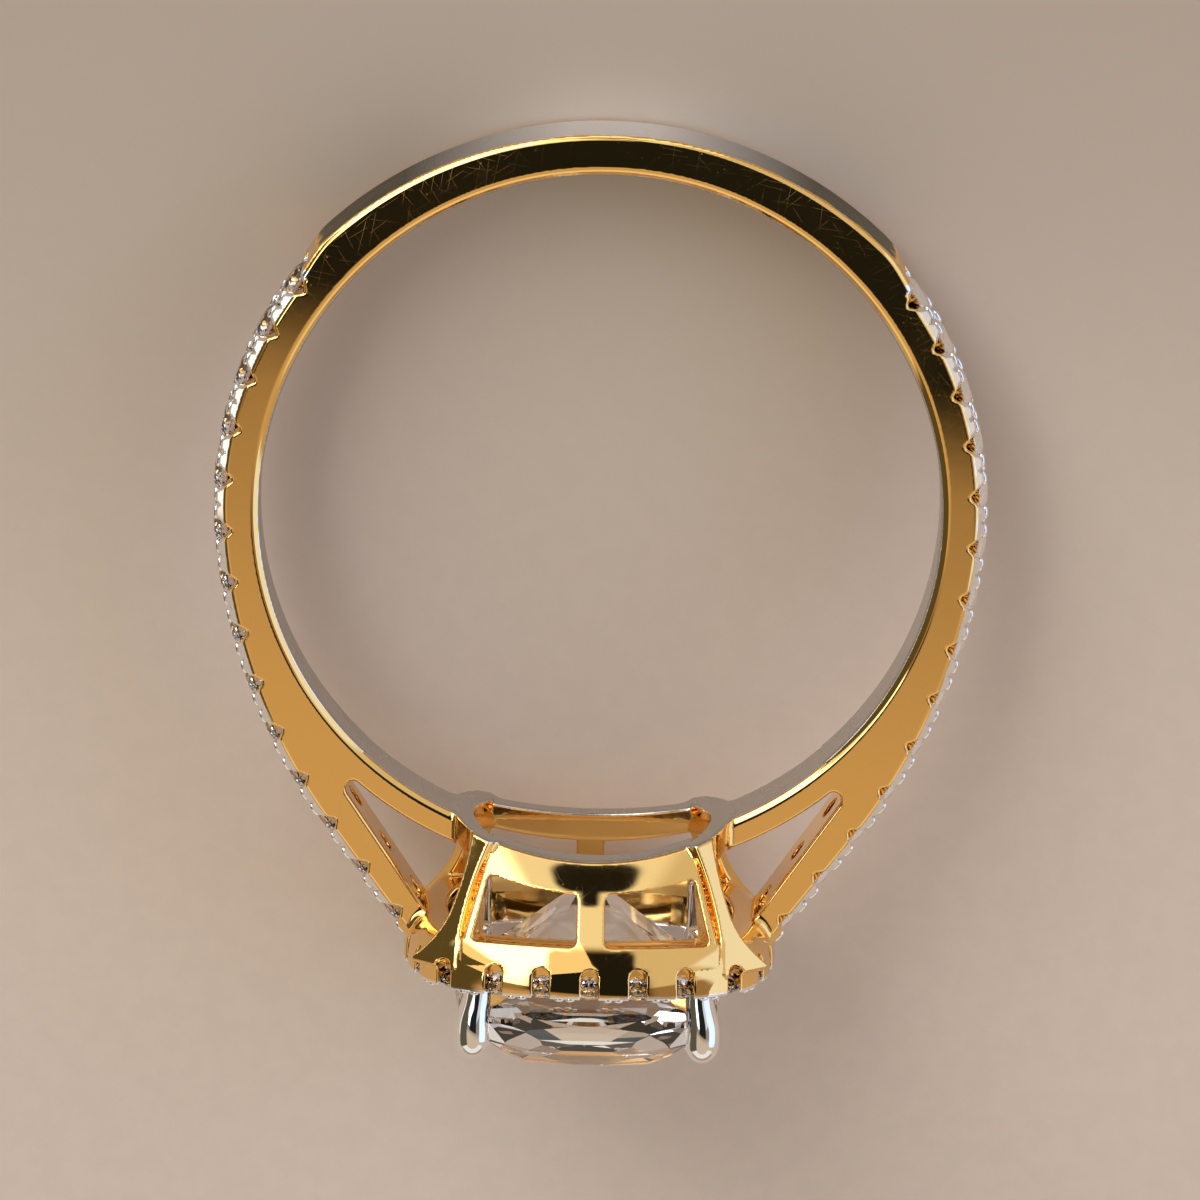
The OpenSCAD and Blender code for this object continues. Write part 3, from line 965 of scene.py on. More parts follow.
def cushion_cut(half: float, power: float) -> Cut:
    """The cushion-shaped centre stone, with long side facets next to its girdle.

    Args:
        half: its half width in millimetres.
        power: how square its outline is.

    Returns:
        The cut.
    """
    pairs, close_pairs = ([t + k for k in (0, 90, 180, 270) for t in (-lean, lean)] for lean in (25, 11))
    crown = [Row(spread(0, 90), 58, 0.0, 0.0), Row(spread(45, 90), 50, 0.0, 0.0), Row(pairs, 54, 0.0, 0.0),
             Row(spread(0, 30), 47, 0.22, 0.36), Row(spread(15, 30), 44, 0.3, 0.42),
             Row(spread(7.5, 15), 38, 0.62, 0.74), Row(spread(0, 22.5), 33, 0.9, 0.95),
             Row(spread(11.25, 22.5), 27, 1.16, 1.1)]
    pavilion = [Row(spread(0, 90), 60, 0.0, -0.15), Row(spread(45, 90), 58, 0.0, -0.16),
                Row(pairs, 59, 0.0, -0.15), Row(spread(0, 90), 41.2, 0.18, -0.42),
                Row(spread(45, 90), 37.4, 0.18, -0.42), Row(pairs, 42, 0.14, -0.42),
                Row(close_pairs, 43.5, 0.12, -0.42)]
    return Cut(half, power, 0.15, 1.31, 44, crown, pavilion)


@dataclass(frozen=True)
class StoneField:
    """One row or ring of small stones."""

    name: str
    node: str
    cut: Cut
    places: Sequence[tuple[Array, Array]]

    def build(self, lying: Lying, material: bpy.types.Material) -> bpy.types.Object:
        """Build the field.

        Args:
            lying: how the ring lies.
            material: the stones' finish.

        Returns:
            The piece.
        """
        mould = Mould()
        p, faces = self.cut.facets()
        for centre, axes in self.places:
            mould.add(centre + p @ axes, faces)
        piece = mould.piece(self.name, lying, material, smooth=False)
        return settle(piece, self.node)


# shared shader effects


@dataclass
class Wiring:
    """Short hand for adding nodes to a tree and joining them."""

    tree: bpy.types.NodeTree

    def node(self, kind: str, **values: object) -> bpy.types.Node:
        """Add a node.

        Args:
            kind: the node's type name.
            values: its settings; names that start with a capital are inputs.

        Returns:
            The node.
        """
        n = self.tree.nodes.new(kind)
        for key, value in values.items():
            if key[0].isupper():
                self.feed(n.inputs[key.replace("_", " ")], value)
            else:
                setattr(n, key, value)
        return n

    def feed(self, socket: bpy.types.NodeSocket, value: object) -> None:
        """Join a socket to another, or give it a plain value."""
        if isinstance(value, bpy.types.NodeSocket):
            self.tree.links.new(value, socket)
        else:
            socket.default_value = value

    def math(self, kind: str, a: object, b: object = 0.0, clamp: bool = False) -> bpy.types.NodeSocket:
        """Do one sum.

        Args:
            kind: what to do.
            a: first value or socket.
            b: second value or socket.
            clamp: keep the result from 0 to 1.

        Returns:
            The result's socket.
        """
        n = self.node("ShaderNodeMath", operation=kind, use_clamp=clamp)
        self.feed(n.inputs[0], a)
        self.feed(n.inputs[1], b)
        return n.outputs[0]

    def vector(self, kind: str, a: object, b: object = (0.0, 0.0, 0.0)) -> bpy.types.NodeSocket:
        """Do one sum with vectors.

        Args:
            kind: what to do.
            a: first vector or socket.
            b: second vector or socket.

        Returns:
            The result's socket, which is a plain value for a length.
        """
        n = self.node("ShaderNodeVectorMath", operation=kind)
        self.feed(n.inputs[0], a)
        self.feed(n.inputs[1], b)
        return n.outputs["Value" if kind == "LENGTH" else "Vector"]

    def band(self, value: object, low: float, high: float, to_low: object = 0.0,
             to_high: object = 1.0) -> bpy.types.NodeSocket:
        """Ease from one value to another as a value goes from low to high."""
        n = self.node("ShaderNodeMapRange", interpolation_type="SMOOTHSTEP")
        for i, v in enumerate((value, low, high, to_low, to_high)):
            self.feed(n.inputs[i], v)
        return n.outputs[0]

    def inside(self, *spans: tuple[object, tuple[float, float], float]) -> bpy.types.NodeSocket:
        """Whether every value lies in its span.

        Args:
            spans: value, lowest and highest, and how soft the ends are.

        Returns:
            One where all do, with soft edges.
        """
        total: object = 1.0
        for value, (low, high), soft in spans:
            rise = self.band(value, low - soft / 2, low + soft / 2)
            fall = self.band(value, high - soft / 2, high + soft / 2, 1.0, 0.0)
            total = self.math("MULTIPLY", self.math("MULTIPLY", total, rise), fall)
        return total

    def noise(self, place: bpy.types.NodeSocket, scale: float, detail: float = 2.0,
              **values: float) -> bpy.types.NodeSocket:
        """Cloudy values from 0 to 1 around a half, at so many clouds a metre."""
        return self.node("ShaderNodeTexNoise", Vector=place, Scale=scale, Detail=detail, **values).outputs[0]

    def mark(self, name: str) -> bpy.types.NodeSocket:
        """A value that the mesh holds for each point."""
        return self.node("ShaderNodeAttribute", attribute_name=name).outputs["Fac"]

    def mix(self, share: object, a: object, b: object) -> bpy.types.NodeSocket:
        """Mix two colours."""
        n = self.node("ShaderNodeMix", data_type="RGBA")
        self.feed(n.inputs[0], share)
        self.feed(n.inputs[6], a)
        self.feed(n.inputs[7], b)
        return n.outputs[2]


def start_group(name: str, inputs: dict[str, object],
                outputs: dict[str, str]) -> tuple[Wiring, dict, dict]:
    """Start a node group.

    Args:
        name: the group's name.
        inputs: the resting value of each plain input by name, or the kind of any other input.
        outputs: the kind of each output by name.

    Returns:
        Its wiring, and the sockets inside it that stand for its inputs and outputs.
    """
    tree = bpy.data.node_groups.new(name, "ShaderNodeTree")
    for title, value in inputs.items():
        kind = value if isinstance(value, str) else "Float"
        socket = tree.interface.new_socket(name=title, in_out="INPUT", socket_type=f"NodeSocket{kind}")
        if not isinstance(value, str):
            socket.default_value = value
    for title, kind in outputs.items():
        tree.interface.new_socket(name=title, in_out="OUTPUT", socket_type=f"NodeSocket{kind}")
    w = Wiring(tree)
    return w, w.node("NodeGroupInput").outputs, w.node("NodeGroupOutput").inputs


class Effects:
    """The node groups that several finishes share, each built once."""

    def __init__(self) -> None:
        """Build every group."""
        self.one_way = self._one_way()
        self.scratches = self._scratches()
        self.casting = self._casting()
        self.plating = self._plating()
        self.haze = self._haze()

    def _one_way(self) -> bpy.types.NodeTree:
        """Short straight hair lines that all run much the same way, one at most in each cell of a grid."""
        resting = {"Vector": "Vector", "Turn": 0.0, "Across": 2600.0, "Along": 1100.0, "Share": 0.4}
        w, given, result = start_group("scratches_one_way", resting, {"Mask": "Float"})
        turned = w.node("ShaderNodeVectorRotate", rotation_type="Z_AXIS", Vector=given["Vector"],
                        Angle=given["Turn"])
        u, v, _ = w.node("ShaderNodeSeparateXYZ", Vector=turned.outputs[0]).outputs
        u = w.math("MULTIPLY", u, given["Across"])
        column = w.math("FLOOR", u)
        push = w.node("ShaderNodeTexWhiteNoise", noise_dimensions="1D", W=column).outputs["Value"]
        v = w.math("ADD", w.math("MULTIPLY", v, given["Along"]), w.math("MULTIPLY", push, 7.0))
        cell = w.node("ShaderNodeCombineXYZ", X=column, Y=w.math("FLOOR", v), Z=given["Turn"])
        luck = w.node("ShaderNodeTexWhiteNoise", noise_dimensions="3D", Vector=cell.outputs[0])
        off, lean, fat = w.node("ShaderNodeSeparateColor", Color=luck.outputs["Color"]).outputs
        fu = w.math("SUBTRACT", w.math("FRACT", u), 0.5)
        fv = w.math("SUBTRACT", w.math("FRACT", v), 0.5)
        line = w.math("SUBTRACT", fu, w.math("MULTIPLY", w.math("SUBTRACT", off, 0.5), 0.5))
        line = w.math("SUBTRACT", line, w.math("MULTIPLY", fv, w.math("SUBTRACT", lean, 0.5)))
        wide = w.math("ADD", w.math("MULTIPLY", fat, 0.045), 0.02)
        near = w.math("SUBTRACT", 1.0, w.math("DIVIDE", w.math("ABSOLUTE", line), wide), clamp=True)
        ends = w.band(w.math("ABSOLUTE", fv), 0.25, 0.48, 1.0, 0.0)
        there = w.math("LESS_THAN", luck.outputs["Value"], given["Share"])
        w.feed(result["Mask"], w.math("MULTIPLY", w.math("MULTIPLY", near, ends), there))
        return w.tree

    def _scratches(self) -> bpy.types.NodeTree:
        """Hair lines in several directions and tiny specks, as a mask."""
        w, given, result = start_group("fine_scratches", {"Vector": "Vector", "Amount": 0.5},
                                       {"Mask": "Float"})
        specks = w.node("ShaderNodeTexVoronoi", Vector=given["Vector"], Scale=5200.0)
        chance = w.node("ShaderNodeSeparateColor", Color=specks.outputs["Color"]).outputs[0]
        total = w.math("MULTIPLY", w.band(specks.outputs["Distance"], 0.08, 0.2, 1.0, 0.0),
                       w.math("LESS_THAN", chance, 0.25))
        for turn, across, along, share in ((0.15, 4600.0, 800.0, 0.35), (0.95, 5600.0, 1300.0, 0.35),
                                           (1.75, 6800.0, 1000.0, 0.35), (2.5, 5000.0, 1500.0, 0.3)):
            layer = w.node("ShaderNodeGroup", node_tree=self.one_way, Vector=given["Vector"], Turn=turn,
                           Across=across, Along=along, Share=share)
            total = w.math("MAXIMUM", total, layer.outputs[0])
        patch = w.noise(given["Vector"], 240.0, 1.0)
        total = w.math("MULTIPLY", total, w.band(patch, 0.32, 0.62, 0.5, 1.0))
        w.feed(result["Mask"], w.math("MULTIPLY", total, given["Amount"], clamp=True))
        return w.tree

    def _casting(self) -> bpy.types.NodeTree:
        """Grain left by the casting and the solder where the polishing wheel can't reach."""
        w, given, result = start_group("casting_grain", {"Vector": "Vector", "Reach": 0.0},
                                       {"Height": "Float", "Roughness": "Float"})
        fine, broad = w.noise(given["Vector"], 7000.0, 3.0), w.noise(given["Vector"], 1300.0)
        height = w.math("ADD", w.math("MULTIPLY", fine, 0.5), broad)
        w.feed(result["Height"], w.math("MULTIPLY", height, given["Reach"]))
        rough = w.band(fine, 0.35, 0.65, 0.12, 0.3)
        w.feed(result["Roughness"], w.math("MULTIPLY", given["Reach"], rough))
        return w.tree

    def _plating(self) -> bpy.types.NodeTree:
        """Yellow gold that gives way to white plating, with a soft uneven edge."""
        resting = {"Vector": "Vector", "Cover": 0.0, "Yellow": "Color", "White": "Color"}
        w, given, result = start_group("plating_edge", resting, {"Color": "Color"})
        blotch = w.noise(given["Vector"], 2600.0)
        pushed = w.math("ADD", given["Cover"], w.band(blotch, 0.2, 0.8, -0.22, 0.22))
        w.feed(result["Color"], w.mix(w.band(pushed, 0.3, 0.7), given["Yellow"], given["White"]))
        return w.tree

    def _haze(self) -> bpy.types.NodeTree:
        """Faint smears and finger marks, as a small change of roughness."""
        w, given, result = start_group("polish_haze", {"Vector": "Vector", "Least": 0.04, "Most": 0.1},
                                       {"Roughness": "Float"})
        smear = w.noise(given["Vector"], 260.0, 3.0, Distortion=0.6)
        w.feed(result["Roughness"], w.band(smear, 0.35, 0.7, given["Least"], given["Most"]))
        return w.tree


# finishes


def start_material(name: str, **values: float) -> tuple[
        bpy.types.Material, Wiring, bpy.types.NodeInputs, bpy.types.NodeSocket]:
    """Start a material with one principled shader.

    Args:
        name: the material's name.
        values: settings of the shader that are the same all over.

    Returns:
        The material, its wiring, the shader's inputs and the place on the piece.
    """
    mat = bpy.data.materials.new(name)
    mat.use_nodes = True
    mat.node_tree.nodes.clear()
    w = Wiring(mat.node_tree)
    shader = w.node("ShaderNodeBsdfPrincipled", **values)
    w.feed(w.node("ShaderNodeOutputMaterial").inputs[0], shader.outputs[0])
    return mat, w, shader.inputs, w.node("ShaderNodeTexCoord").outputs["Object"]


@dataclass(frozen=True)
class MetalFinish:
    """Polished precious metal."""

    name: str
    plating: Plating
    yellow: tuple[float, float, float, float] = (0.97, 0.61, 0.20, 1.0)
    white: tuple[float, float, float, float] = (0.93, 0.91, 0.89, 1.0)
    warm_white: tuple[float, float, float, float] = (0.86, 0.80, 0.70, 1.0)
    # Painted shade: a near-black warm colour mixed into the white plating, standing in for the dark
    # surroundings that the band's outer face and bore reflect.
    painted_shade_colour: tuple[float, float, float, float] = (0.11, 0.095, 0.055, 1.0)
    least: float = 0.03
    most: float = 0.07
    scratch: float = 1.0

    def build(self, effects: Effects) -> bpy.types.Material:
        """Build the material.

        Args:
            effects: the shared node groups.

        Returns:
            The material.
        """
        mat, w, shader, place = start_material(self.name, Metallic=1.0)
        two_tone = self.plating is Plating.TWO_TONE
        amount = w.math("MULTIPLY", w.mark("worn"), self.scratch) if two_tone else self.scratch
        scratch = w.node("ShaderNodeGroup", node_tree=effects.scratches, Vector=place, Amount=amount)
        haze = w.node("ShaderNodeGroup", node_tree=effects.haze, Vector=place, Least=self.least,
                      Most=self.most)
        grain = w.node("ShaderNodeGroup", node_tree=effects.casting, Vector=place,
                       Reach=w.mark("unpolished"))
        rough = w.math("ADD", haze.outputs["Roughness"], w.math("MULTIPLY", scratch.outputs["Mask"], 0.3))
        rough = w.math("ADD", rough, grain.outputs["Roughness"])
        w.feed(shader["Roughness"], w.math("ADD", rough, w.math("MULTIPLY", w.mark("satin"), 0.42)))
        ripple = w.math("MULTIPLY", w.noise(place, 1500.0, 1.0), 0.02)
        height = w.math("ADD", ripple, grain.outputs["Height"])
        w.feed(shader["Normal"], w.node("ShaderNodeBump", Strength=0.5, Distance=0.00003,
                                        Height=height).outputs[0])
        if two_tone:
            # Painted shade: the white plating darkens towards this dark colour by the painted shade mark, in
            # place of dark reflections.
            plated = w.mix(w.mark("painted_shade"), self.white, self.painted_shade_colour)
            edge = w.node("ShaderNodeGroup", node_tree=effects.plating, Vector=place,
                          Cover=w.mark("plating"), Yellow=self.yellow, White=plated)
            w.feed(shader["Base Color"], edge.outputs["Color"])
        else:
            cloudy = w.band(w.noise(place, 500.0), 0.4, 0.7, 0.0, 0.3)
            w.feed(shader["Base Color"], w.mix(cloudy, self.white, self.warm_white))
        return mat


@dataclass(frozen=True)
class StoneFinish:
    """Clear cut stone."""

    name: str
    tint: tuple[float, float, float, float] = (1.0, 1.0, 1.0, 1.0)
    ior: float = 1.95

    def build(self, effects: Effects) -> bpy.types.Material:
        """Build the material.

        Args:
            effects: the shared node groups.

        Returns:
            The material.
        """
        mat, w, shader, place = start_material(self.name, Metallic=0.0, IOR=self.ior,
                                               Transmission_Weight=1.0)
        haze = w.node("ShaderNodeGroup", node_tree=effects.haze, Vector=place, Least=0.0, Most=0.012)
        w.feed(shader["Roughness"], haze.outputs["Roughness"])
        darker = tuple(0.97 * v for v in self.tint[:3]) + (1.0,)
        w.feed(shader["Base Color"], w.mix(w.band(w.noise(place, 600.0), 0.4, 0.7), self.tint, darker))
        return mat


@dataclass(frozen=True)
class FloorFinish:
    """Pale matt surface that the ring lies on."""

    name: str = "pale_floor"
    light: tuple[float, float, float, float] = (0.77, 0.625, 0.49, 1.0)
    dark: tuple[float, float, float, float] = (0.73, 0.592, 0.463, 1.0)
    # Painted shade: the floor's darker colour on its far side (+Y), in place of light falling off.
    far: tuple[float, float, float, float] = (0.53, 0.427, 0.32, 1.0)

    def build(self) -> bpy.types.Material:
        """Build the material.

        Returns:
            The material.
        """
        mat, w, shader, place = start_material(self.name, Roughness=0.8)
        grain, broad = w.noise(place, 1400.0, Roughness=0.6), w.noise(place, 60.0, 1.0)
        share = w.math("ADD", w.band(grain, 0.35, 0.65, 0.0, 0.5), w.band(broad, 0.3, 0.7, 0.0, 0.5))
        away = w.node("ShaderNodeSeparateXYZ", Vector=place).outputs[1]
        near = w.mix(share, self.light, self.dark)
        # Painted shade: the floor goes from the near colours to the darker far one between 13 mm before and
        # 18 mm past its middle along +Y.
        w.feed(shader["Base Color"], w.mix(w.band(away, -0.013, 0.018), near, self.far))
        bump = w.node("ShaderNodeBump", Strength=0.2, Distance=0.00005, Height=grain)
        w.feed(shader["Normal"], bump.outputs[0])
        return mat


# studio


@dataclass(frozen=True)
class Viewpoint:
    """The photograph's camera, as solved from the finger hole, the rails and the band's edges."""

    above: float = 12.0
    turn: float = -0.44
    roll: float = 1.5
    distance: float = 350.0
    scale: float = 39.32
    hole_x: float = 600.56
    hole_y: float = 503.06

    def build(self, lying: Lying) -> bpy.types.Object:
        """Place the camera.

        Args:
            lying: how the ring lies.

        Returns:
            The camera.
        """
        e, psi, roll = (math.radians(v) for v in (self.above, self.turn, self.roll))
        out = Vector((math.sin(psi) * math.cos(e), math.sin(e), math.cos(psi) * math.cos(e))).normalized()
        up = (Vector((0, 1, 0)) - out * out.y).normalized()
        right = up.cross(out)
        up2 = up * math.cos(roll) - right * math.sin(roll)
        right2 = up2.cross(out)
        pos = out * self.distance
        aim = (right2 * ((600 - self.hole_x) / self.scale)) - (up2 * ((600 - self.hole_y) / self.scale))
        look = (pos - aim).normalized()
        r3 = up2.cross(look).normalized()
        up3 = look.cross(r3)
        turned = [lying.directions(np.array([list(v)]))[0] for v in (r3, up3, look)]
        matrix = Matrix([turned[0], turned[1], turned[2]]).transposed().to_4x4()
        matrix.translation = Vector(lying.points(np.array([list(pos)]))[0])
        data = bpy.data.cameras.new("camera")
        data.sensor_width = 36.0
        data.lens = self.scale * self.distance * 36.0 / 1200.0
        data.clip_start, data.clip_end = 0.01, 10.0
        camera = bpy.data.objects.new("camera", data)
        camera.matrix_world = matrix
        bpy.context.scene.collection.objects.link(camera)
        bpy.context.scene.camera = camera
        return camera


@dataclass(frozen=True)
class Panel:
    """A bright or dark card around the ring, in degrees.

    Low cards are given by their turn from +Y towards +X and their height above the floor; overhead cards by
    how far they lean from straight up towards +X and towards +Y. A mirrored card also hangs at -X.
    """

    turn: tuple[float, float]
    height: tuple[float, float]
    colour: tuple[float, float, float]
    soft: float = 3.0
    overhead: bool = False
    mirrored: bool = False

    def share(self, w: Wiring, place: bpy.types.NodeSocket) -> bpy.types.NodeSocket:
        """How far a direction lies on the card, whose corners are well rounded.

        Args:
            w: the tree to add the nodes to.
            place: the direction's place along the card's width and height, as a vector.

        Returns:
            One on the card and nought beside it.
        """
        spans = (self.turn, self.height)
        bend = min(4.0, 0.35 * min(high - low for low, high in spans))
        middle = tuple((low + high) / 2 for low, high in spans) + (0.0,)
        half = tuple((high - low) / 2 - bend for low, high in spans) + (0.0,)
        away = w.vector("ABSOLUTE", w.vector("SUBTRACT", place, middle))
        away = w.vector("MAXIMUM", w.vector("SUBTRACT", away, half))
        return w.band(w.vector("LENGTH", away), bend - self.soft / 2, bend + self.soft / 2, 1.0, 0.0)


PANELS = (
    Panel((120, 190), (18, 48), (0.85, 0.82, 0.78), 6.0, mirrored=True),
    Panel((135, 190), (1, 18), (0.40, 0.29, 0.21), 5.0, mirrored=True),
    Panel((-104, -56), (-5, 8), (1.3, 1.2, 1.1), 5.0),
    Panel((-64, -14), (-5, 8), (2.4, 2.4, 2.4), 3.0),
    Panel((-20, 26), (-5, 8), (1.7, 1.6, 1.45), 3.0),
    Panel((20, 100), (-5, 6), (0.75, 0.68, 0.6), 3.0),
    Panel((-68, -7), (2, 78), (3.0, 3.2, 3.6), 4.0),
    Panel((7, 66), (2, 78), (0.69, 0.69, 0.71), 5.0),
    Panel((50, 108), (3, 46), (0.9, 1.1, 1.7), 4.0),
    Panel((-11, 11), (2, 38), (0.95, 1.03, 1.2), 4.0),
    Panel((-124, -46), (4, 52), (0.10, 0.09, 0.06), 5.0),
    Panel((-5.5, 7.5), (7, 16), (0.014, 0.014, 0.014), 1.5),
    Panel((-1.6, 1.9), (11, 21), (0.014, 0.014, 0.014), 1.5),
    Panel((-17, 19), (18, 50.5), (0.014, 0.014, 0.014), 2.5, overhead=True),
)


@dataclass(frozen=True)
class Studio:
    """Floor, soft surrounding light and one large soft lamp."""

    def floor(self) -> bpy.types.Object:
        """Lay the floor, at the height the ring rests on."""
        s = 0.6
        points = np.array([(-s, -s, 0), (s, -s, 0), (s, s, 0), (-s, s, 0)], float)
        piece = make_piece("floor", points, [[0, 1, 2, 3]], FloorFinish().build(), smooth=False)
        return piece

    def surroundings(self) -> bpy.types.World:
        """Light tent: warm walls, pale panels on both sides and behind, and the dark lens overhead."""
        world = bpy.data.worlds.new("light_tent")
        world.use_nodes = True
        world.node_tree.nodes.clear()
        w = Wiring(world.node_tree)
        out = w.node("ShaderNodeOutputWorld")
        back = w.node("ShaderNodeBackground", Strength=1.0)
        split = w.node("ShaderNodeSeparateXYZ", Vector=w.node("ShaderNodeTexCoord").outputs["Generated"])
        x, y, z = split.outputs
        side = w.math("DEGREES", w.math("ARCTAN2", x, z))
        along = w.math("DEGREES", w.math("ARCTAN2", y, z))
        turn = w.math("DEGREES", w.math("ARCTAN2", x, y))
        height = w.math("DEGREES", w.math("ARCSINE", z))
        edge = w.math("ADD", along, w.math("MULTIPLY", side, 0.154))
        colour = w.mix(w.band(height, -5.0, 60.0), (0.52, 0.44, 0.36, 1.0), (0.61, 0.48, 0.35, 1.0))
        colour = w.mix(w.band(edge, -8.0, 1.5, 0.0, 0.5), colour, (0.03, 0.012, 0.004, 1.0))
        low = w.node("ShaderNodeCombineXYZ", X=turn, Y=height).outputs[0]
        over = w.node("ShaderNodeCombineXYZ", X=side, Y=along).outputs[0]
        both = w.vector("ABSOLUTE", low)
        for panel in PANELS:
            share = panel.share(w, over if panel.overhead else both if panel.mirrored else low)
            colour = w.mix(share, colour, (*panel.colour, 1.0))
        round_it = w.inside((side, (-22.0, 22.0), 6.0), (along, (-9.0, 36.0), 6.0))
        lens = w.math("MULTIPLY", w.band(edge, -1.2, 1.1), round_it)
        colour = w.mix(lens, colour, (0.013, 0.015, 0.016, 1.0))
        w.feed(back.inputs["Color"], colour)
        w.tree.links.new(back.outputs[0], out.inputs[0])
        bpy.context.scene.world = world
        return world

    def lamp(self, name: str, at: tuple[float, float, float], size: float, watts: float,
             colour: tuple[float, float, float]) -> bpy.types.Object:
        """Hang a soft square lamp that faces the ring.

        Args:
            name: its name.
            at: its place in metres.
            size: its side in metres.
            watts: its strength.
            colour: its colour.

        Returns:
            The lamp.
        """
        data = bpy.data.lights.new(name, "AREA")
        data.size = size
        data.energy = watts
        data.color = colour
        lamp = bpy.data.objects.new(name, data)
        lamp.location = at
        lamp.rotation_euler = (-Vector(at)).to_track_quat("-Z", "Y").to_euler()
        bpy.context.scene.collection.objects.link(lamp)
        return lamp

    def build(self) -> None:
        """Set up the whole studio."""
        self.floor()
        self.surroundings()
        self.lamp("key_lamp", (-0.25, 0.45, 0.4), 0.5, 0.8, (1.0, 0.95, 0.88))
        view = bpy.context.scene.view_settings
        view.view_transform = "Standard"
        view.look = "None"
        view.exposure = 0.0


# the ring


@dataclass(frozen=True)
class Setting:
    """The cast metal: band, shoulders, basket and halo."""

    metal: CastMetal
    step: float = 0.05

    def skin(self) -> Skin:
        """Find the skin of the whole setting."""
        step = self.step * 1.0
        return SkinFinder(self.metal, (-10.2, -12.3, -5.0), (10.2, 10.2, 5.0), step).find()

    def marks(self, p: Array) -> dict[str, Array]:
        """White plating, unpolished corners, wear, satin, and painted shade that darkens the white plating,
        as values for each point.

        Args:
            p: points in the ring's axes.

        Returns:
            Values by attribute name.
        """
        b, h = self.metal.band, self.metal.head
        x, y, z = np.abs(p[:, 0]), p[:, 1], np.abs(p[:, 2])
        up, r, a = -y, np.hypot(x, y), np.degrees(np.arctan2(x, y))
        degrees = np.arange(0.0, 181.0)
        reach = np.interp(a, degrees, [b.outer_r(v) for v in degrees])
        plain_reach = b.bore_r + b.thick + b.end_rise * (a / b.plain_half) ** 2
        deep = np.where(a < b.plain_half, plain_reach - r - 0.02, reach - r - 0.2)
        cover = np.clip(0.5 - deep / 0.07, 0, 1)
        in_head = (up > 10.4) & (x < 5.2)
        cover = np.where(in_head, np.clip((up - h.rim + 0.1) / 0.07 + 0.5, 0, 1), cover)
        cover = np.maximum(cover, np.clip(0.5 + (b.bore_r + 0.05 - r) / 0.04, 0, 1))
        joint = 0.8 * np.exp(-(((x - 3.3) / 0.3) ** 2 + ((up - 8.45) / 0.35) ** 2))
        outer = self.metal.wall_face(x, z, up)
        past = x - h.window_half + h.window_lean * (h.window_foot - up)
        sides = (past > -0.4) & (past < 0.03) & (up < h.window_foot)
        jamb = sides & (up > 8.9) & (outer < -0.07) & (outer > -0.54)
        rough = np.clip(joint + np.where(jamb, 0.9, 0.0), 0, 1)
        worn = np.clip(1.0 - np.maximum(a - 60.0, 0.0) / 30.0, 0.3, 1.0)
        worn = worn * np.where(r > b.bore_r + 0.1, 1.0, 0.4)
        worn = worn * np.clip(0.55 + (r - b.bore_r - 0.5) * 0.9, 0.4, 1.0)
        band_back = (a < b.plain_half) & (r > plain_reach - 0.05) & (z < b.width / 2 - 0.1)
        bore = r < b.bore_r + 0.04
        inner_wall = (up > 8.7) & (x < 3.3) & (outer < -0.4) & (up < 11.0)
        satin = np.where(band_back, 1.0, np.where(bore, 0.5, np.where(inner_wall, 0.8, 0.0)))
        # Painted shade: the band's outer face darkens from 6 to 32 degrees off its middle, and the bore by
        # half, standing in for dark reflections.
        painted_shade = np.where(band_back, 0.97 * np.clip((a - 6.0) / 26.0, 0, 1), np.where(bore, 0.5, 0.0))
        return {"plating": cover, "unpolished": rough, "worn": worn, "satin": satin, "painted_shade": painted_shade}

    def polish(self, p: Array, n: Array) -> Array:
        """Dome the flat faces of the band very slightly, as a polishing wheel leaves them.

        Args:
            p: points in the ring's axes.
            n: their outward directions.

        Returns:
            The directions, turned by up to three degrees where the metal is flat.
        """
        flat = np.clip((np.abs(n[:, 2]) - 0.97) / 0.025, 0, 1) * (np.abs(p[:, 2]) < 1.2)
        turned = n.copy()
        turned[:, :2] += 0.0044 * p[:, :2] * flat[:, None]
        return turned / np.linalg.norm(turned, axis=1)[:, None]

    def build(self, lying: Lying, material: bpy.types.Material) -> list[bpy.types.Object]:
        """Build the setting's pieces.

        Args:
            lying: how the ring lies.
            material: the metal's finish.

        Returns:
            The pieces.
        """
        skin = self.skin()
        middle = skin.points[skin.faces].mean(axis=1)
        x, up = middle[:, 0], -middle[:, 1]
        a = np.degrees(np.arctan2(np.abs(x), -up))
        plain = a < self.metal.band.plain_half
        head = ((np.abs(x) < 3.95) & (up > 7.4)) | ((up > 10.45) & (np.abs(x) < 5.4))
        halo = head & (up > 10.45)
        parts = {
            "plain_band": plain,
            "shoulder_left": ~plain & ~head & (x < 0),
            "shoulder_right": ~plain & ~head & (x >= 0),
            "basket": head & ~halo,
            "halo": halo,
        }
        pieces = []
        for name, keep in parts.items():
            part = skin.part(keep)
            piece = make_piece(name, lying.points(part.points), part.faces, material,
                               normals=lying.directions(self.polish(part.points, part.normals)),
                               marks=self.marks(part.points))
            pieces.append(settle(piece, "ring_setting"))
        return pieces


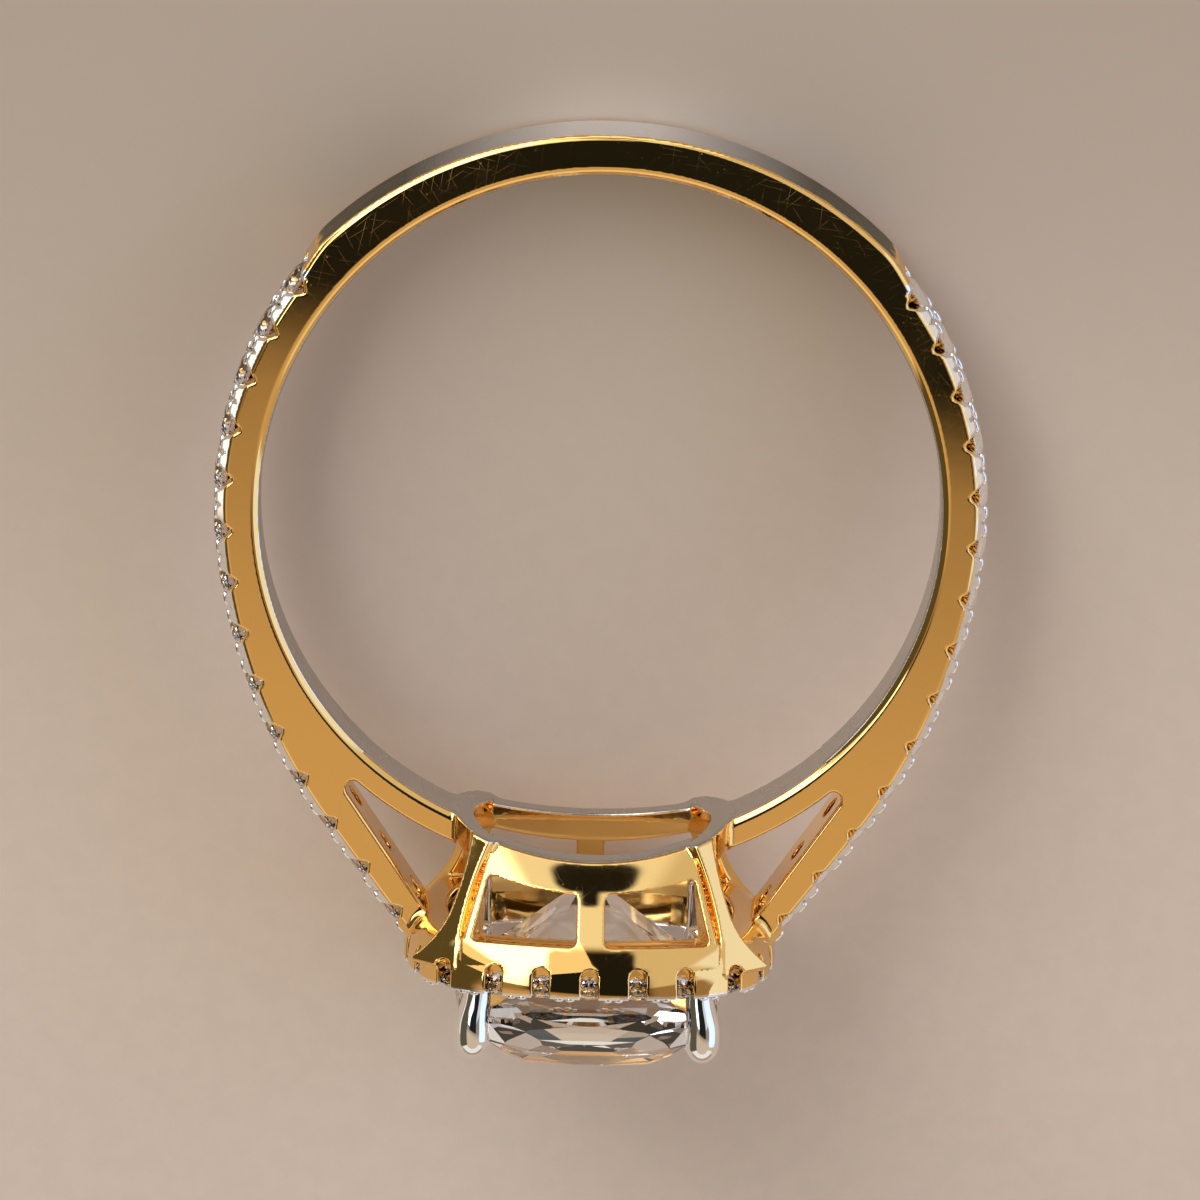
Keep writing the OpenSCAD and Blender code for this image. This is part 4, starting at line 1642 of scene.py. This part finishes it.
@dataclass(frozen=True)
class Beads:
    """The raised beads between the small stones, two in each gap on each side."""

    metal: CastMetal
    along: float = 0.235
    out: float = 0.745
    sunk: float = 0.02
    size: tuple[float, float, float] = (0.2, 0.085, 0.12)

    def shoulder(self, side: int, lying: Lying, material: bpy.types.Material) -> bpy.types.Object:
        """Build one shoulder's beads.

        Args:
            side: 1 for the right shoulder, -1 for the left one.
            lying: how the ring lies.
            material: their finish.

        Returns:
            The piece.
        """
        mould = Mould()
        for _, px, py, nx, ny in self.metal.band.set_places(half_steps=True):
            tangent = np.array([ny, -nx, 0.0])
            normal = np.array([nx, ny, 0.0])
            middle = np.array([px, py, 0.0])
            axes = np.array([tangent, normal, [0.0, 0.0, 1.0]])
            for u in (-self.along, self.along):
                for z in (-self.out, self.out):
                    at = middle + u * tangent - self.sunk * normal + np.array([0, 0, z])
                    p, f = bead(at, axes, self.size)
                    p[:, 0] *= side
                    mould.add(p, f if side > 0 else [g[::-1] for g in f])
        name = "shoulder_beads_right" if side > 0 else "shoulder_beads_left"
        return settle(mould.piece(name, lying, material, True), "ring_setting")

    def halo(self, lying: Lying, material: bpy.types.Material) -> bpy.types.Object:
        """Build the halo's beads."""
        mould = Mould()
        h = self.metal.head
        pitch = h.perimeter / h.stones
        for i in range(h.stones):
            for shift in (-0.13, 0.13):
                for out, size in ((0.47, 0.125), (-0.5, 0.1)):
                    l, f, w = h.place((i + 0.5) * pitch + shift * (1.0 if out > 0 else 0.85))
                    n = np.array([math.sin(w), 0.0, math.cos(w)])
                    t = np.array([math.cos(w), 0.0, -math.sin(w)])
                    centre = np.array([l, -h.rim + 0.005, f]) + out * n
                    mould.add(*bead(centre, np.array([t, [0, -1.0, 0], n]), (size, 0.075, 0.1)))
        return settle(mould.piece("halo_beads", lying, material, True), "ring_setting")


@dataclass(frozen=True)
class Claws:
    """Four drop-shaped claws at the centre stone's corners."""

    turn: float = 44.0
    rim_d: float = 3.9
    tip_d: float = 4.06
    top: float = 13.9
    tip_r: float = 0.45

    def profile(self) -> list[tuple[float, float, float]]:
        """Distance from the stone's axis, height and radius along a claw."""
        ball = self.top - 1.15 * self.tip_r
        knots = [(10.4, 3.9, 0.3), (11.3, 3.9, 0.28), (11.9, self.rim_d, 0.3),
                 (12.35, self.rim_d + 0.03, 0.37), (12.8, self.tip_d, 0.43),
                 (13.2, self.tip_d + 0.01, 0.46), (ball, self.tip_d, self.tip_r)]
        h = np.array([k[0] for k in knots])
        at = np.linspace(h[0], h[-1], 26)
        smooth = [np.interp(at, h, [k[i] for k in knots]) for i in (1, 2)]
        for _ in range(3):
            smooth = [np.concatenate([s[:1], (s[:-2] + 2 * s[1:-1] + s[2:]) / 4, s[-1:]]) for s in smooth]
        rows = list(zip(smooth[0], at, smooth[1]))
        for w in np.linspace(0, 86, 11)[1:]:
            t = math.radians(w)
            rows.append((self.tip_d, ball + (self.top - ball) * math.sin(t), self.tip_r * math.cos(t)))
        return rows

    @staticmethod
    def clear_of_stone(p: Array, stone: "CentreStone") -> Array:
        """Push points out of the stone's room.

        Args:
            p: points in the ring's axes.
            stone: the centre stone.

        Returns:
            The points, each at least 0.03 mm outside the stone, measured straight out from its axis.
        """
        up = -p[:, 1] - stone.girdle
        share = np.where(up > 0, 1 - up * 0.32, 1 + (up + 0.15) * 0.29)
        share = np.clip(np.where(np.abs(up + 0.08) < 0.08, 1.0, share), 0.0, 1.0)
        r = np.hypot(p[:, 0], p[:, 2])
        c, s = np.abs(p[:, 0]) / r, np.abs(p[:, 2]) / r
        power = stone.cut.power
        room = share * stone.cut.half / (c ** power + s ** power) ** (1 / power) + 0.03
        grow = np.maximum(room / r, 1.0)
        return p * np.stack([grow, np.ones_like(grow), grow], axis=1)

    def build(self, lying: Lying, material: bpy.types.Material) -> bpy.types.Object:
        """Build the four claws as one piece.

        Args:
            lying: how the ring lies.
            material: their finish.

        Returns:
            The piece.
        """
        mould = Mould()
        rows, around = self.profile(), 28
        for sx in (1, -1):
            for sz in (1, -1):
                w = math.radians(self.turn)
                out = np.array([sx * math.cos(w), 0.0, sz * math.sin(w)])
                across = np.array([-sz * out[2], 0.0, sz * out[0]])
                points = []
                for d, h, r in rows:
                    for i in range(around):
                        t = 2 * math.pi * i / around
                        ring = out * (d + r * math.cos(t)) + across * r * math.sin(t)
                        points.append(ring + np.array([0, -h, 0]))
                points.append(out * rows[-1][0] + np.array([0, -self.top, 0]))
                faces = []
                for j in range(len(rows) - 1):
                    a, b = j * around, (j + 1) * around
                    for i in range(around):
                        k = (i + 1) % around
                        faces.append([a + i, a + k, b + k, b + i])
                last, j = len(points) - 1, (len(rows) - 1) * around
                faces += [[j + i, j + (i + 1) % around, last] for i in range(around)]
                faces.append(list(range(around))[::-1])
                if sx > 0:
                    faces = [f[::-1] for f in faces]
                mould.add(self.clear_of_stone(np.array(points), CentreStone()), faces)
        return settle(mould.piece("claws", lying, material, True), "ring_setting")


@dataclass(frozen=True)
class CentreStone:
    """Cushion-shaped brilliant in the claws."""

    cut: Cut = field(default_factory=lambda: cushion_cut(3.34, 3.4))
    girdle: float = 12.95

    def build(self, lying: Lying, material: bpy.types.Material) -> bpy.types.Object:
        """Build the stone.

        Args:
            lying: how the ring lies.
            material: its finish.

        Returns:
            The piece.
        """
        p, faces = self.cut.facets()
        mould = Mould()
        axes = np.array([[1.0, 0, 0], [0, 0, 1.0], [0, -1.0, 0]])
        mould.add(np.array([0, -self.girdle, 0]) + p @ axes, faces)
        piece = mould.piece("centre_stone_cut", lying, material, smooth=False)
        return settle(piece, "centre_stone")


@dataclass(frozen=True)
class SmallStones:
    """The halo's and the shoulders' stones."""

    metal: CastMetal

    def build(self, lying: Lying, material: bpy.types.Material) -> list[bpy.types.Object]:
        """Build the three fields.

        Args:
            lying: how the ring lies.
            material: their finish.

        Returns:
            The pieces.
        """
        b, h = self.metal.band, self.metal.head
        pitch = h.perimeter / h.stones
        places = []
        for i in range(h.stones):
            l, f, w = h.place(i * pitch)
            n, t = np.array([math.sin(w), 0, math.cos(w)]), np.array([math.cos(w), 0, -math.sin(w)])
            places.append((np.array([l, -h.rim + 0.1, f]), np.array([t, n, [0, -1.0, 0]])))
        fields = [StoneField("halo_stones_cut", "halo_stones", round_brilliant(h.gem_d / 2), places)]
        cut = round_brilliant(b.gem_d / 2)
        for side, name in ((1, "right"), (-1, "left")):
            places = []
            for _, px, py, nx, ny in b.set_places():
                n, t = np.array([side * nx, ny, 0]), np.array([side * ny, -nx, 0])
                centre = np.array([side * px, py, 0]) - 0.11 * n
                places.append((centre, np.array([t, [0, 0, 1.0], n])))
            fields.append(StoneField(f"shoulder_stones_{name}_cut", f"shoulder_stones_{name}", cut, places))
        return [f.build(lying, material) for f in fields]


def main() -> None:
    """Build the ring and the studio, and report each piece."""
    logging.basicConfig(level=logging.INFO, format="%(name)s: %(message)s")
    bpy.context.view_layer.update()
    lying = Lying.from_record(frame["record"])
    effects = Effects()
    gold = MetalFinish("gold_two_tone", Plating.TWO_TONE).build(effects)
    white = MetalFinish("white_plated", Plating.WHITE, scratch=0.25).build(effects)
    clear = StoneFinish("clear_stone", tint=(1.0, 0.94, 0.88, 1.0)).build(effects)
    small = StoneFinish("small_clear_stones", tint=(0.97, 0.97, 1.0, 1.0)).build(effects)
    metal = CastMetal()
    Viewpoint().build(lying)
    Studio().build()
    Setting(metal).build(lying, gold)
    beads = Beads(metal)
    for side in (1, -1):
        beads.shoulder(side, lying, white)
    beads.halo(lying, white)
    Claws().build(lying, white)
    CentreStone().build(lying, clear)
    SmallStones(metal).build(lying, small)


if __name__ == "__main__":
    main()
